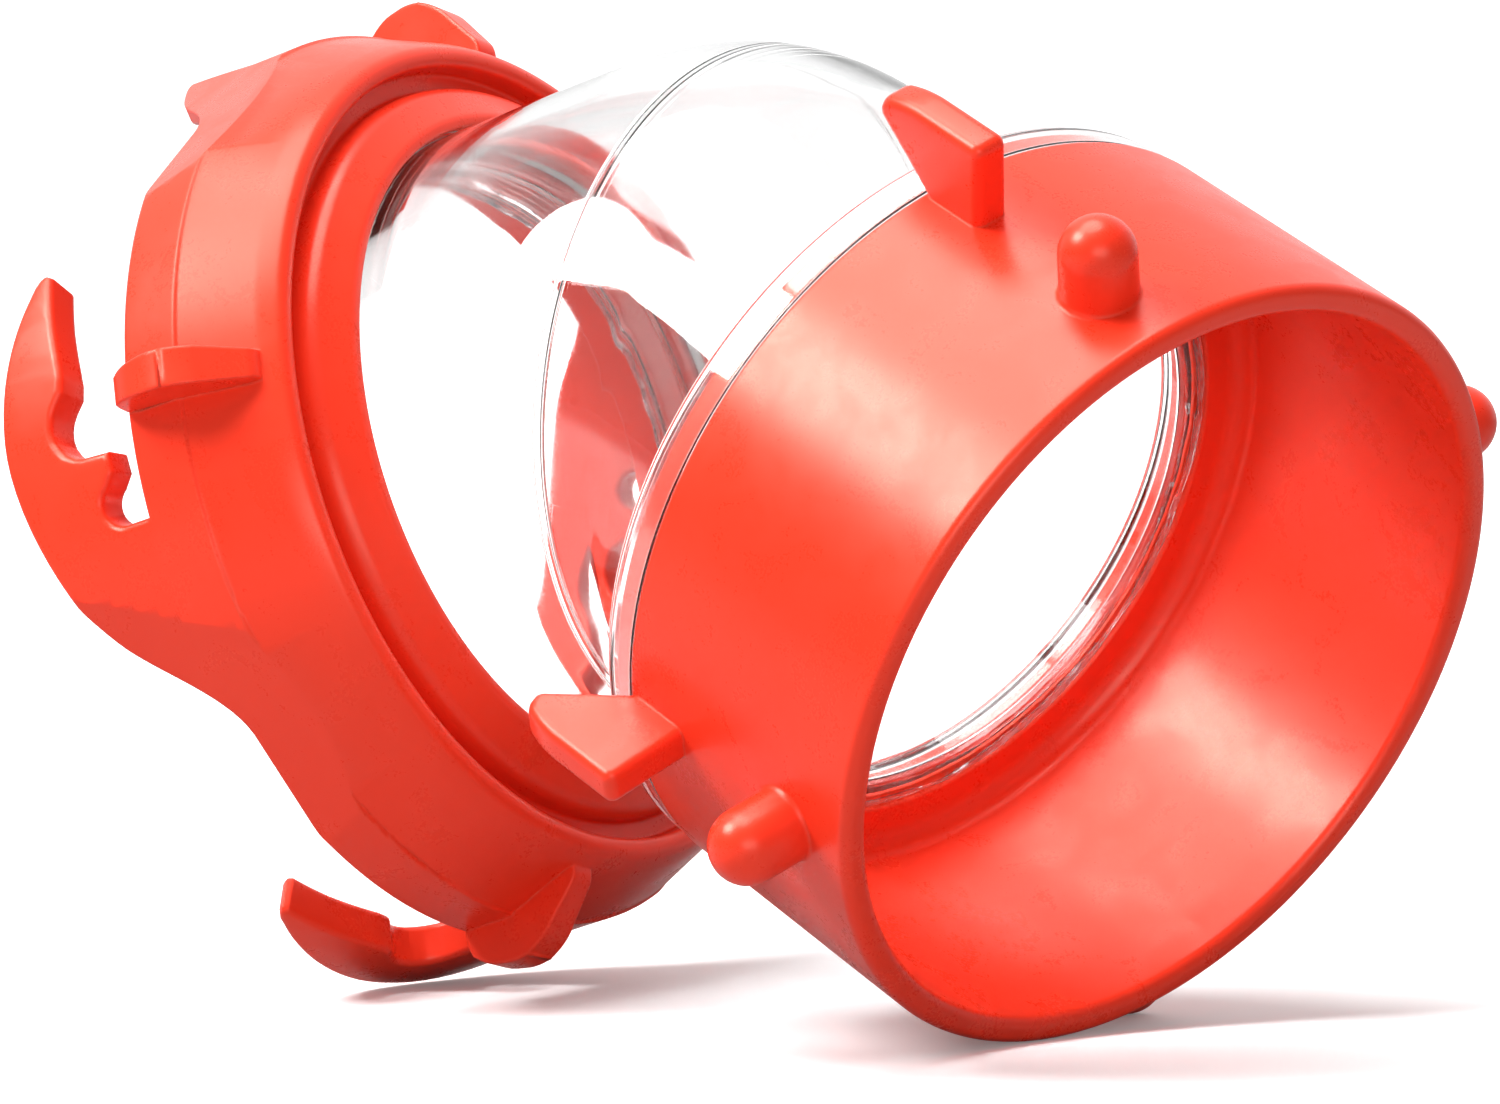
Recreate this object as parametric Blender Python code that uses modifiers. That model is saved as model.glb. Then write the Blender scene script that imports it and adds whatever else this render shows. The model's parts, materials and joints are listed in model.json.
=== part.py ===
"""Swivelling 45 degree drain hose adapter: clear elbow, bayonet hook ring and lug collar.

The elbow lies in its own XZ plane with the two leg axes crossing at the origin.  Each
turning ring has its own frame whose Z runs out along a leg and whose origin is that
crossing.  The whole adapter is then laid on the floor on the three points it really
rests on.
"""

import math

import bmesh
import bpy
from mathutils import Matrix, Vector
from mathutils.geometry import interpolate_bezier

MM = 0.001
OBJECT_NAME = "swivel_hose_adapter"

# Overall layout
BEND_ANGLE = math.radians(45.0)
RUNNING_GAP = 0.3 * MM
TURN_STEPS = 60
RING_STEPS = 44
REPEATS = 4
SHARP_EDGE = math.radians(32.0)
NOMINAL_DOWN = Vector((0.056, 0.251, -0.967))

# Clear elbow
HOOK_LEG_R = 39.7 * MM
COLLAR_LEG_R = 37.6 * MM
HOOK_SIDE_SWELL = 0.9 * MM
ELBOW_WALL = 2.0 * MM
SLEEVE_R = 37.6 * MM
SLEEVE_WALL = 1.5 * MM
BEND_REACH = 26.0 * MM
CROWN_ROUND = 17.0 * MM
THROAT_ROUND = 4.0 * MM
ROUND_SHARE = 0.45
BEND_STATIONS = (-1.0, -0.72, -0.45, -0.3, -0.15, 0.0, 0.15, 0.3, 0.45, 0.72, 1.0)

# Lug collar
COLLAR_OUTER_R = 48.4 * MM
COLLAR_WALL = 3.3 * MM
COLLAR_BACK = 36.56 * MM
COLLAR_LENGTH = 38.0 * MM
COLLAR_DRAFT = 0.4 * MM
COLLAR_LIP_ROUND = 1.5 * MM
COLLAR_FLOOR = 36.2 * MM
COLLAR_WEB = 2.9 * MM
COLLAR_STEP = 2.2 * MM
FLOOR_ROUND = 3.0 * MM
CUP_WALL = 1.6 * MM
CUP_FLOOR = 2.1 * MM
CUP_BACK_ROUND = 2.0 * MM
LUG_PHASE = math.radians(44.8)
PEG_STATION = 63.9 * MM
PEG_DIAMETER = 9.0 * MM
PEG_TIP_R = 58.4 * MM
FIN_THICKNESS = 4.5 * MM
FIN_TOP_R = 59.6 * MM
FIN_EDGE_ROUND = 1.2 * MM
FIN_REACH_BACK = 7.6 * MM
FIN_REACH_FRONT = 10.1 * MM

# Hook ring
LIP_STATION = 27.9 * MM
HUB_R = 45.9 * MM
GROOVE_WIDTH = 2.6 * MM
GROOVE_FLOOR = 34.2 * MM
BAND_BACK = 30.8 * MM
RIDGE_STATION = 42.5 * MM
RIDGE_R = 55.8 * MM
SKIRT_R = 56.2 * MM
SKIRT_WALL = 4.3 * MM
SKIRT_FRONT = 50.7 * MM
HUB_SEAT = 33.5 * MM
HUB_WEB = 3.5 * MM
GASKET_LAND = 44.5 * MM
GASKET_LIP_HEIGHT = 2.0 * MM
GASKET_LIP_WALL = 1.3 * MM
HOOK_TIP_R = 57.3 * MM
FACET_PHASE = math.radians(133.2)
FACET_BACK_R = 55.1 * MM
FACET_FRONT_R = 53.8 * MM
FACET_BACK = 39.5 * MM
WING_PHASE = math.radians(87.7)
WING_THICKNESS = 5.5 * MM
WING_TOP_R = 61.9 * MM
WING_EDGE_ROUND = 1.9 * MM
HOOK_RELIEF_R = 2.7
HOOK_LENGTH = 18.0 * MM
FACET_SLAB = (12.0 * MM, 70.0 * MM, 60.0 * MM)
FACET_SLAB_BACK = 16.0 * MM

# Retaining rings and seals
RETAINER_OVERLAP = 1.3 * MM
RETAINER_THICKNESS = 1.3 * MM
HOOK_RETAINER_THICKNESS = 1.7 * MM
HOOK_COUNTERBORE_R = 42.0 * MM
SEAL_SECTION = 1.5 * MM
SEAL_GROOVE_DEPTH = 1.7 * MM
SEAL_GROOVE_WIDTH = 2.1 * MM
COLLAR_SEAL_R = 42.1 * MM
HOOK_SEAL_STATION = 30.8 * MM
GASKET_THICKNESS = 3.0 * MM

# Fits that follow from the sizes above
HALF_BEND = BEND_ANGLE / 2
COLLAR_BORE_R = COLLAR_OUTER_R - COLLAR_WALL
COLLAR_MOUTH = COLLAR_BACK + COLLAR_LENGTH
COLLAR_WEB_BACK = COLLAR_FLOOR - COLLAR_WEB
COLLAR_WEB_R = COLLAR_OUTER_R - COLLAR_STEP
WEB_BORE_R = SLEEVE_R + RUNNING_GAP
SLEEVE_BORE_R = SLEEVE_R - SLEEVE_WALL
CUP_FRONT = COLLAR_BACK - RUNNING_GAP
CUP_INNER_R = COLLAR_WEB_R + RUNNING_GAP
CUP_FACE = COLLAR_WEB_BACK - RUNNING_GAP
CUP_BACK = CUP_FACE - CUP_FLOOR
RETAINER_R = WEB_BORE_R + RETAINER_OVERLAP
RETAINER_POCKET_R = RETAINER_R + RUNNING_GAP
RETAINER_FLOOR = COLLAR_FLOOR - RETAINER_THICKNESS
HUB_BORE_R = HOOK_LEG_R + RUNNING_GAP
HUB_WEB_FRONT = HUB_SEAT + HUB_WEB
LEG_STEP = HUB_SEAT - RUNNING_GAP
GASKET_BACK = GASKET_LAND + RUNNING_GAP
GASKET_LIP_R = HOOK_COUNTERBORE_R + GASKET_LIP_WALL
SKIRT_BORE_R = SKIRT_R - SKIRT_WALL


def clear_scene():
    """Remove everything the new file starts with."""
    for old in list(bpy.data.objects):
        bpy.data.objects.remove(old, do_unlink=True)


def collection(name):
    """A new collection linked to the scene."""
    made = bpy.data.collections.new(name)
    bpy.context.scene.collection.children.link(made)
    return made


def plastic(name, colour, roughness, transmission=0.0):
    """A plain Principled material."""
    material = bpy.data.materials.new(name)
    material.use_nodes = True
    shader = material.node_tree.nodes["Principled BSDF"]
    shader.inputs["Base Color"].default_value = (*colour, 1.0)
    shader.inputs["Roughness"].default_value = roughness
    shader.inputs["Metallic"].default_value = 0.0
    shader.inputs["Transmission Weight"].default_value = transmission
    material.diffuse_color = (*colour, 1.0)
    return material


def rounded(corners, steps=3):
    """Points of a closed outline given as (u, v, radius) corners, each radius as an arc."""
    points = []
    count = len(corners)
    for index, (u, v, radius) in enumerate(corners):
        here = Vector((u, v))
        if radius <= 0:
            points.append((u, v))
            continue
        before = (Vector(corners[index - 1][:2]) - here).normalized()
        after = (Vector(corners[(index + 1) % count][:2]) - here).normalized()
        half = before.angle(after) / 2
        centre = here + (before + after).normalized() * radius / math.sin(half)
        start = here + before * radius / math.tan(half) - centre
        end = here + after * radius / math.tan(half) - centre
        sweep = start.angle_signed(end)
        for step in range(steps + 1):
            turned = Matrix.Rotation(-sweep * step / steps, 2) @ start
            points.append(tuple(centre + turned))
    return points


def area(points):
    """Signed area of a closed outline."""
    total = 0.0
    for (u0, v0), (u1, v1) in zip(points, points[1:] + points[:1]):
        total += (u0 * v1 - u1 * v0) / 2
    return total


def object_of(name, mesh, home, material=None):
    """A new object carrying a mesh, in the collection it belongs to."""
    made = bpy.data.objects.new(name, mesh)
    home.objects.link(made)
    if material is not None:
        mesh.materials.clear()
        mesh.materials.append(material)
    return made


def mesh_of(name, bm):
    """The mesh of a finished bmesh, its normals facing out."""
    bmesh.ops.recalc_face_normals(bm, faces=bm.faces[:])
    mesh = bpy.data.meshes.new(name)
    bm.to_mesh(mesh)
    bm.free()
    return mesh


def turned(name, profile, home, material=None, steps=TURN_STEPS):
    """A closed (radius, height) profile swept once round Z by the Screw modifier."""
    if area(profile) > 0:
        profile = profile[::-1]
    bm = bmesh.new()
    verts = [bm.verts.new((radius, 0.0, height)) for radius, height in profile]
    for first, second in zip(verts, verts[1:] + verts[:1]):
        bm.edges.new((first, second))
    mesh = bpy.data.meshes.new(name)
    bm.to_mesh(mesh)
    bm.free()
    made = object_of(name, mesh, home, material)
    sweep = made.modifiers.new("sweep", "SCREW")
    sweep.axis = "Z"
    sweep.angle = math.tau
    sweep.steps = steps
    sweep.render_steps = steps
    sweep.use_merge_vertices = True
    sweep.merge_threshold = 1e-6
    sweep.use_smooth_shade = True
    return made


def settled(made):
    """Replace an object's mesh by the shape its modifiers give."""
    bpy.context.view_layer.update()
    graph = bpy.context.evaluated_depsgraph_get()
    mesh = bpy.data.meshes.new_from_object(made.evaluated_get(graph))
    made.modifiers.clear()
    old = made.data
    made.data = mesh
    bpy.data.meshes.remove(old)
    return made


def smooth(made, angle=SHARP_EDGE):
    """Smooth shading that keeps the real edges sharp."""
    made.data.shade_smooth()
    made.data.set_sharp_from_angle(angle=angle)
    return made


def around(bm, phase):
    """Repeat a bmesh at equal turns about Z, the first at the given phase."""
    source = bm.verts[:] + bm.edges[:] + bm.faces[:]
    for turn in range(1, REPEATS):
        copy = bmesh.ops.duplicate(bm, geom=source)
        verts = [item for item in copy["geom"] if isinstance(item, bmesh.types.BMVert)]
        spin = Matrix.Rotation(math.tau * turn / REPEATS, 3, "Z")
        bmesh.ops.rotate(bm, verts=verts, cent=(0, 0, 0), matrix=spin)
    bmesh.ops.rotate(bm, verts=bm.verts[:], cent=(0, 0, 0), matrix=Matrix.Rotation(phase, 3, "Z"))


def blade(name, outline, thickness, edge_round, home, phase):
    """Flat lugs standing on the ring: a (station, radius) outline with rounded edges."""
    bm = bmesh.new()
    verts = [bm.verts.new((radius, -thickness / 2, station)) for station, radius in outline]
    side = bm.faces.new(verts)
    grown = bmesh.ops.extrude_face_region(bm, geom=[side])
    moved = [item for item in grown["geom"] if isinstance(item, bmesh.types.BMVert)]
    bmesh.ops.translate(bm, verts=moved, vec=(0, thickness, 0))
    bmesh.ops.recalc_face_normals(bm, faces=bm.faces[:])
    rims = []
    for edge in bm.edges:
        across = abs(edge.verts[0].co.y - edge.verts[1].co.y) > thickness / 2
        if not across:
            rims.append(edge)
    bmesh.ops.bevel(
        bm, geom=rims, offset=edge_round, segments=2, profile=0.5, affect="EDGES",
        clamp_overlap=True, material=-1,
    )
    around(bm, phase)
    return object_of(name, mesh_of(name, bm), home)


def pegs(name, home):
    """Domed round pegs standing out of the collar."""
    bm = bmesh.new()
    radius = PEG_DIAMETER / 2
    shoulder = PEG_TIP_R - radius
    root = COLLAR_BORE_R + COLLAR_WALL / 2
    profile = [(0.0, root), (radius, root), (radius, shoulder)]
    for step in range(1, 5):
        lean = math.pi / 2 * step / 5
        profile.append((radius * math.cos(lean), shoulder + radius * math.sin(lean)))
    profile.append((0.0, PEG_TIP_R))
    verts = [bm.verts.new((height, out, 0.0)) for out, height in profile]
    edges = [bm.edges.new(pair) for pair in zip(verts, verts[1:])]
    bmesh.ops.spin(
        bm, geom=verts + edges, cent=(0, 0, 0), axis=(1, 0, 0), dvec=(0, 0, 0),
        angle=math.tau, steps=16, use_merge=True,
    )
    bmesh.ops.remove_doubles(bm, verts=bm.verts[:], dist=1e-7)
    bmesh.ops.translate(bm, verts=bm.verts[:], vec=(0, 0, PEG_STATION))
    around(bm, LUG_PHASE)
    return object_of(name, mesh_of(name, bm), home)


def joined(made, *others):
    """Unite other closed bodies with an object by exact Booleans."""
    for other in others:
        union = made.modifiers.new("with_" + other.name, "BOOLEAN")
        union.operation = "UNION"
        union.solver = "EXACT"
        union.object = other
        as_cutter(other, made)
    return made


def less(made, *others):
    """Cut closed bodies out of an object by exact Booleans."""
    for other in others:
        cut = made.modifiers.new("less_" + other.name, "BOOLEAN")
        cut.operation = "DIFFERENCE"
        cut.solver = "EXACT"
        cut.object = other
        as_cutter(other, made)
    return made


def as_cutter(other, made):
    """Hide a helper body and carry it with the piece it shapes."""
    other.hide_render = True
    other.display_type = "WIRE"
    other.parent = made


def leg_frame(side):
    """Rotation whose Z runs out along a leg; side +1 is the collar's, -1 the hook ring's."""
    cosine = math.cos(HALF_BEND)
    sine = math.sin(HALF_BEND)
    across = Vector((0.0, 1.0, 0.0))
    out = Vector((side * cosine, 0.0, -sine))
    third = out.cross(across)
    return Matrix((across, third, out)).transposed().to_4x4()


def on_leg(side, radius, angle, station):
    """Point of the elbow frame at a radius and crown angle about one leg's axis."""
    cosine = math.cos(HALF_BEND)
    sine = math.sin(HALF_BEND)
    out = Vector((side * cosine, 0.0, -sine))
    crown = Vector((side * sine, 0.0, cosine))
    across = Vector((0.0, 1.0, 0.0))
    return out * station + (across * math.cos(angle) + crown * math.sin(angle)) * radius


def bent(point):
    """A point of the straight tube carried to the mitred, rounded elbow.

    The straight tube's Z is the distance from the mitre, positive on the collar's leg.
    """
    radius = math.hypot(point.x, point.y)
    angle = math.atan2(point.y, point.x)
    side = 1.0 if point.z >= 0 else -1.0
    if abs(point.z) >= BEND_REACH:
        return on_leg(side, radius, angle, abs(point.z))
    mitre = -radius * math.sin(angle) * math.tan(HALF_BEND)
    rise = (1 + math.sin(angle)) / 2
    ease = THROAT_ROUND + (CROWN_ROUND - THROAT_ROUND) * rise
    part = abs(point.z) / BEND_REACH
    if part >= ROUND_SHARE:
        along = (part - ROUND_SHARE) / (1 - ROUND_SHARE)
        station = mitre + ease + (BEND_REACH - mitre - ease) * along
        return on_leg(side, radius, angle, station)
    t = 0.5 + 0.5 * side * part / ROUND_SHARE
    start = on_leg(-1.0, radius, angle, mitre + ease)
    middle = on_leg(1.0, radius, angle, mitre)
    end = on_leg(1.0, radius, angle, mitre + ease)
    return start * (1 - t) ** 2 + middle * (2 * t * (1 - t)) + end * t**2


def leg_radius(part):
    """Outer radius of the clear body from the hook end (-1) to the collar end (+1)."""
    share = (part + 1) / 2
    blend = share * share * (3 - 2 * share)
    taper = HOOK_LEG_R + (COLLAR_LEG_R - HOOK_LEG_R) * blend
    return taper + HOOK_SIDE_SWELL * math.sin(math.pi * share) ** 2


def clear_elbow(home, material):
    """The clear elbow with its two sleeves and the cup that carries the collar."""
    outer = [(leg_radius(part), part * BEND_REACH, 0.0) for part in BEND_STATIONS]
    inner = [
        (leg_radius(part) - ELBOW_WALL, part * BEND_REACH, 0.0) for part in BEND_STATIONS
    ]
    collar_end = [
        (COLLAR_LEG_R, CUP_BACK, 1.5 * MM),
        (COLLAR_OUTER_R - RUNNING_GAP, CUP_BACK, CUP_BACK_ROUND),
        (COLLAR_OUTER_R - RUNNING_GAP, CUP_FRONT, 0.4 * MM),
        (CUP_INNER_R, CUP_FRONT, 0.4 * MM),
        (CUP_INNER_R, CUP_FACE, 0.0),
        (SLEEVE_R, CUP_FACE, 0.0),
        (SLEEVE_R, RETAINER_FLOOR, 0.0),
        (SLEEVE_BORE_R, RETAINER_FLOOR, 0.3 * MM),
    ]
    hook_end = [
        (SLEEVE_BORE_R, -HUB_WEB_FRONT, 0.3 * MM),
        (SLEEVE_R, -HUB_WEB_FRONT, 0.0),
        (SLEEVE_R, -LEG_STEP, 0.0),
        (HOOK_LEG_R, -LEG_STEP, 0.3 * MM),
    ]
    profile = rounded(outer + collar_end + inner[::-1] + hook_end, steps=3)
    made = settled(turned("elbow_body", profile, home, material))
    for vert in made.data.vertices:
        vert.co = bent(vert.co)
    return smooth(made)


def lug_collar(home, cutters, material):
    """The collar: socket, web, four fins and four bayonet pegs in one moulding."""
    groove_in = COLLAR_SEAL_R - SEAL_GROOVE_WIDTH / 2
    groove_out = COLLAR_SEAL_R + SEAL_GROOVE_WIDTH / 2
    groove_floor = COLLAR_WEB_BACK + SEAL_GROOVE_DEPTH
    profile = rounded(
        [
            (COLLAR_OUTER_R + COLLAR_DRAFT, COLLAR_MOUTH, COLLAR_LIP_ROUND),
            (COLLAR_OUTER_R, COLLAR_BACK, 0.5 * MM),
            (COLLAR_WEB_R, COLLAR_BACK, 0.0),
            (COLLAR_WEB_R, COLLAR_WEB_BACK, 0.4 * MM),
            (groove_out, COLLAR_WEB_BACK, 0.0),
            (groove_out, groove_floor, 0.0),
            (groove_in, groove_floor, 0.0),
            (groove_in, COLLAR_WEB_BACK, 0.0),
            (WEB_BORE_R, COLLAR_WEB_BACK, 0.0),
            (WEB_BORE_R, RETAINER_FLOOR, 0.0),
            (RETAINER_POCKET_R, RETAINER_FLOOR, 0.0),
            (RETAINER_POCKET_R, COLLAR_FLOOR, 0.0),
            (COLLAR_BORE_R, COLLAR_FLOOR, FLOOR_ROUND),
            (COLLAR_BORE_R + COLLAR_DRAFT / 2, COLLAR_MOUTH, COLLAR_LIP_ROUND),
        ]
    )
    made = turned("lug_collar", profile, home, material)
    root = COLLAR_BORE_R + COLLAR_WALL / 2
    fin = rounded(
        [
            (COLLAR_BACK + 1.2 * MM, root, 0.0),
            (COLLAR_BACK + 0.6 * MM, COLLAR_OUTER_R - 0.4 * MM, 0.0),
            (COLLAR_BACK - FIN_REACH_BACK, FIN_TOP_R - 3.6 * MM, 1.0 * MM),
            (COLLAR_BACK - 6.4 * MM, FIN_TOP_R - 1.2 * MM, 1.0 * MM),
            (COLLAR_BACK - 2.2 * MM, FIN_TOP_R, 2.0 * MM),
            (COLLAR_BACK + FIN_REACH_FRONT, FIN_TOP_R, 1.4 * MM),
            (COLLAR_BACK + 9.4 * MM, root, 0.0),
        ]
    )
    fins = blade("fin_blanks", fin, FIN_THICKNESS, FIN_EDGE_ROUND, cutters, LUG_PHASE)
    joined(made, fins, pegs("peg_blanks", cutters))
    return smooth(settled(made))


def hook_outline():
    """One bayonet hook unrolled: (angle, station) points from its root round to its slot."""
    degree = math.radians(1.0)
    knots = [
        ((133.0, 50.7), (6.0, 0.3)),
        ((148.9, 60.6), (4.6, 2.9)),
        ((177.5, 68.8), (9.0, 0.0)),
        ((195.6, 65.3), (2.6, -1.1)),
    ]
    points = []
    for (start, leave), (end, reach) in zip(knots, knots[1:]):
        first = Vector(start)
        last = Vector(end)
        curve = interpolate_bezier(first, first + Vector(leave), last - Vector(reach), last, 7)
        points.extend(tuple(point) for point in curve[:-1])
    points.append(knots[-1][0])
    points += [(197.9, 64.3), (198.6, 63.2), (198.2, 62.4)]
    points += [(192.0, 61.4), (186.0, 60.2), (183.6, 59.8), (181.6, 59.9), (180.0, 61.0)]
    points += [(177.9, 61.7), (175.6, 61.5), (173.6, 60.2), (172.6, 58.0), (172.4, 54.3)]
    points.append((169.8, 54.1))
    for step in range(7):
        lean = math.radians(35.0 + 155.0 * step / 6)
        wide = HOOK_RELIEF_R * math.cos(lean) / (SKIRT_R / MM * degree)
        points.append((165.8 + wide, 53.8 + HOOK_RELIEF_R * math.sin(lean)))
    shift = SKIRT_FRONT / MM - 50.7
    return [(angle * degree, (station + shift) * MM) for angle, station in points]


def skirt_with_hooks(cutters):
    """The skirt and its four hooks: a flat strip cut to outline, then rolled up."""
    back = RIDGE_STATION - 0.9 * MM
    hook = hook_outline()
    pitch = math.tau / REPEATS
    strip = []
    for turn in range(REPEATS):
        strip += [(angle + pitch * turn, station) for angle, station in hook]
        root = hook[-1][0]
        strip.append((root + pitch * turn, SKIRT_FRONT))
    start = hook[0][0]
    strip.append((start + math.tau, SKIRT_FRONT))
    bm = bmesh.new()
    verts = [bm.verts.new((angle, station, 0.0)) for angle, station in strip]
    verts.append(bm.verts.new((start + math.tau, back, 0.0)))
    verts.append(bm.verts.new((start, back, 0.0)))
    face = bm.faces.new(verts)
    bmesh.ops.triangulate(bm, faces=[face])
    cells = TURN_STEPS
    for cell in range(1, cells):
        at = start + math.tau * cell / cells
        bmesh.ops.bisect_plane(
            bm, geom=bm.verts[:] + bm.edges[:] + bm.faces[:], dist=1e-6,
            plane_co=(at, 0, 0), plane_no=(1, 0, 0),
        )
    for station in (RIDGE_STATION + 0.4 * MM, SKIRT_FRONT):
        bmesh.ops.bisect_plane(
            bm, geom=bm.verts[:] + bm.edges[:] + bm.faces[:], dist=1e-6,
            plane_co=(0, station, 0), plane_no=(0, 1, 0),
        )
    grown = bmesh.ops.extrude_face_region(bm, geom=bm.faces[:])
    moved = [item for item in grown["geom"] if isinstance(item, bmesh.types.BMVert)]
    bmesh.ops.translate(bm, verts=moved, vec=(0, 0, 1))
    for end in (start, start + math.tau):
        caps = [face for face in bm.faces if all(abs(v.co.x - end) < 1e-5 for v in face.verts)]
        bmesh.ops.delete(bm, geom=caps, context="FACES")
    for vert in bm.verts:
        angle, station, outside = vert.co
        radius = skirt_surface(station) if outside > 0.5 else SKIRT_BORE_R
        vert.co = (radius * math.cos(angle), radius * math.sin(angle), station)
    bmesh.ops.remove_doubles(bm, verts=bm.verts[:], dist=1e-6)
    return object_of("skirt_blank", mesh_of("skirt_blank", bm), cutters)


def skirt_surface(station):
    """Outer radius of the skirt and hooks at a station."""
    if station < RIDGE_STATION:
        return RIDGE_R - 0.5 * MM
    reach = (station - SKIRT_FRONT) / HOOK_LENGTH
    return SKIRT_R + (HOOK_TIP_R - SKIRT_R) * max(0.0, reach)


def facet_cutter(cutters):
    """Four leaning slabs that leave flat facets on the skirt between the wings."""
    bm = bmesh.new()
    depth, _, length = FACET_SLAB
    bmesh.ops.create_cube(bm, size=1.0)
    bmesh.ops.scale(bm, verts=bm.verts[:], vec=FACET_SLAB)
    centre = (depth / 2, 0, length / 2 - FACET_SLAB_BACK)
    bmesh.ops.translate(bm, verts=bm.verts[:], vec=centre)
    lean = math.atan2(FACET_BACK_R - FACET_FRONT_R, SKIRT_FRONT - FACET_BACK)
    bmesh.ops.rotate(
        bm, verts=bm.verts[:], cent=(0, 0, 0), matrix=Matrix.Rotation(-lean, 3, "Y")
    )
    bmesh.ops.translate(bm, verts=bm.verts[:], vec=(FACET_BACK_R, 0, FACET_BACK))
    around(bm, FACET_PHASE)
    return object_of("facet_blanks", mesh_of("facet_blanks", bm), cutters)


def hook_ring(home, cutters, material):
    """The hook ring: hub, grooved band, skirt, hooks and grip wings in one moulding."""
    groove_outer = HUB_R + GROOVE_WIDTH
    seal_back = HOOK_SEAL_STATION - SEAL_GROOVE_WIDTH / 2
    seal_front = HOOK_SEAL_STATION + SEAL_GROOVE_WIDTH / 2
    seal_floor = HUB_BORE_R + SEAL_GROOVE_DEPTH
    inner_edge = RIDGE_STATION + 1.0 * MM
    profile = rounded(
        [
            (HUB_BORE_R, LIP_STATION, 0.0),
            (HUB_BORE_R + 1.3 * MM, LIP_STATION, 0.8 * MM),
            (HUB_R, LIP_STATION + 3.0 * MM, 1.5 * MM),
            (HUB_R, GROOVE_FLOOR, 0.3 * MM),
            (groove_outer, GROOVE_FLOOR, 0.3 * MM),
            (groove_outer, BAND_BACK, 1.3 * MM),
            (groove_outer + 2.4 * MM, BAND_BACK, 1.2 * MM),
            (groove_outer + 5.0 * MM, BAND_BACK + 3.4 * MM, 3.0 * MM),
            (groove_outer + 6.6 * MM, BAND_BACK + 7.6 * MM, 3.0 * MM),
            (RIDGE_R, RIDGE_STATION, 0.0),
            (RIDGE_R - 1.3 * MM, inner_edge, 0.0),
            (SKIRT_BORE_R + 1.0 * MM, GASKET_LAND, 0.0),
            (GASKET_LIP_R, GASKET_LAND, 0.0),
            (GASKET_LIP_R, GASKET_LAND + GASKET_LIP_HEIGHT, 0.4 * MM),
            (HOOK_COUNTERBORE_R, GASKET_LAND + GASKET_LIP_HEIGHT, 0.4 * MM),
            (HOOK_COUNTERBORE_R, HUB_WEB_FRONT, 0.0),
            (WEB_BORE_R, HUB_WEB_FRONT, 0.0),
            (WEB_BORE_R, HUB_SEAT, 0.0),
            (HUB_BORE_R, HUB_SEAT, 0.0),
            (HUB_BORE_R, seal_front, 0.0),
            (seal_floor, seal_front, 0.0),
            (seal_floor, seal_back, 0.0),
            (HUB_BORE_R, seal_back, 0.0),
        ]
    )
    made = turned("hook_ring", profile, home, material)
    root = SKIRT_R - SKIRT_WALL / 2
    wing = rounded(
        [
            (SKIRT_FRONT - 15.6 * MM, root - 3.0 * MM, 0.0),
            (SKIRT_FRONT - 17.2 * MM, root - 1.7 * MM, 0.0),
            (SKIRT_FRONT - 14.6 * MM, root + 2.6 * MM, 2.0 * MM),
            (SKIRT_FRONT - 13.6 * MM, WING_TOP_R - 1.0 * MM, 1.0 * MM),
            (SKIRT_FRONT - 11.8 * MM, WING_TOP_R, 1.0 * MM),
            (SKIRT_FRONT - 2.9 * MM, WING_TOP_R, 1.5 * MM),
            (SKIRT_FRONT + 0.3 * MM, WING_TOP_R - 2.2 * MM, 1.5 * MM),
            (SKIRT_FRONT - 1.0 * MM, root, 0.0),
        ]
    )
    less(joined(made, skirt_with_hooks(cutters)), facet_cutter(cutters))
    joined(made, blade("wing_blanks", wing, WING_THICKNESS, WING_EDGE_ROUND, cutters, WING_PHASE))
    return smooth(settled(made))


def ring(name, inner, outer, back, front, home, material, edge=0.3 * MM):
    """A plain ring with lightly rounded edges."""
    profile = rounded(
        [
            (outer, front, edge),
            (outer, back, edge),
            (inner, back, edge),
            (inner, front, edge),
        ],
        steps=1,
    )
    return smooth(settled(turned(name, profile, home, material, RING_STEPS)))


def cord_ring(name, radius, station, section, home, material):
    """A seal ring of round section."""
    profile = []
    for step in range(8):
        turn = math.tau * step / 8
        profile.append(
            (radius + section / 2 * math.cos(turn), station + section / 2 * math.sin(turn))
        )
    return smooth(settled(turned(name, profile, home, material, RING_STEPS)))


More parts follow.
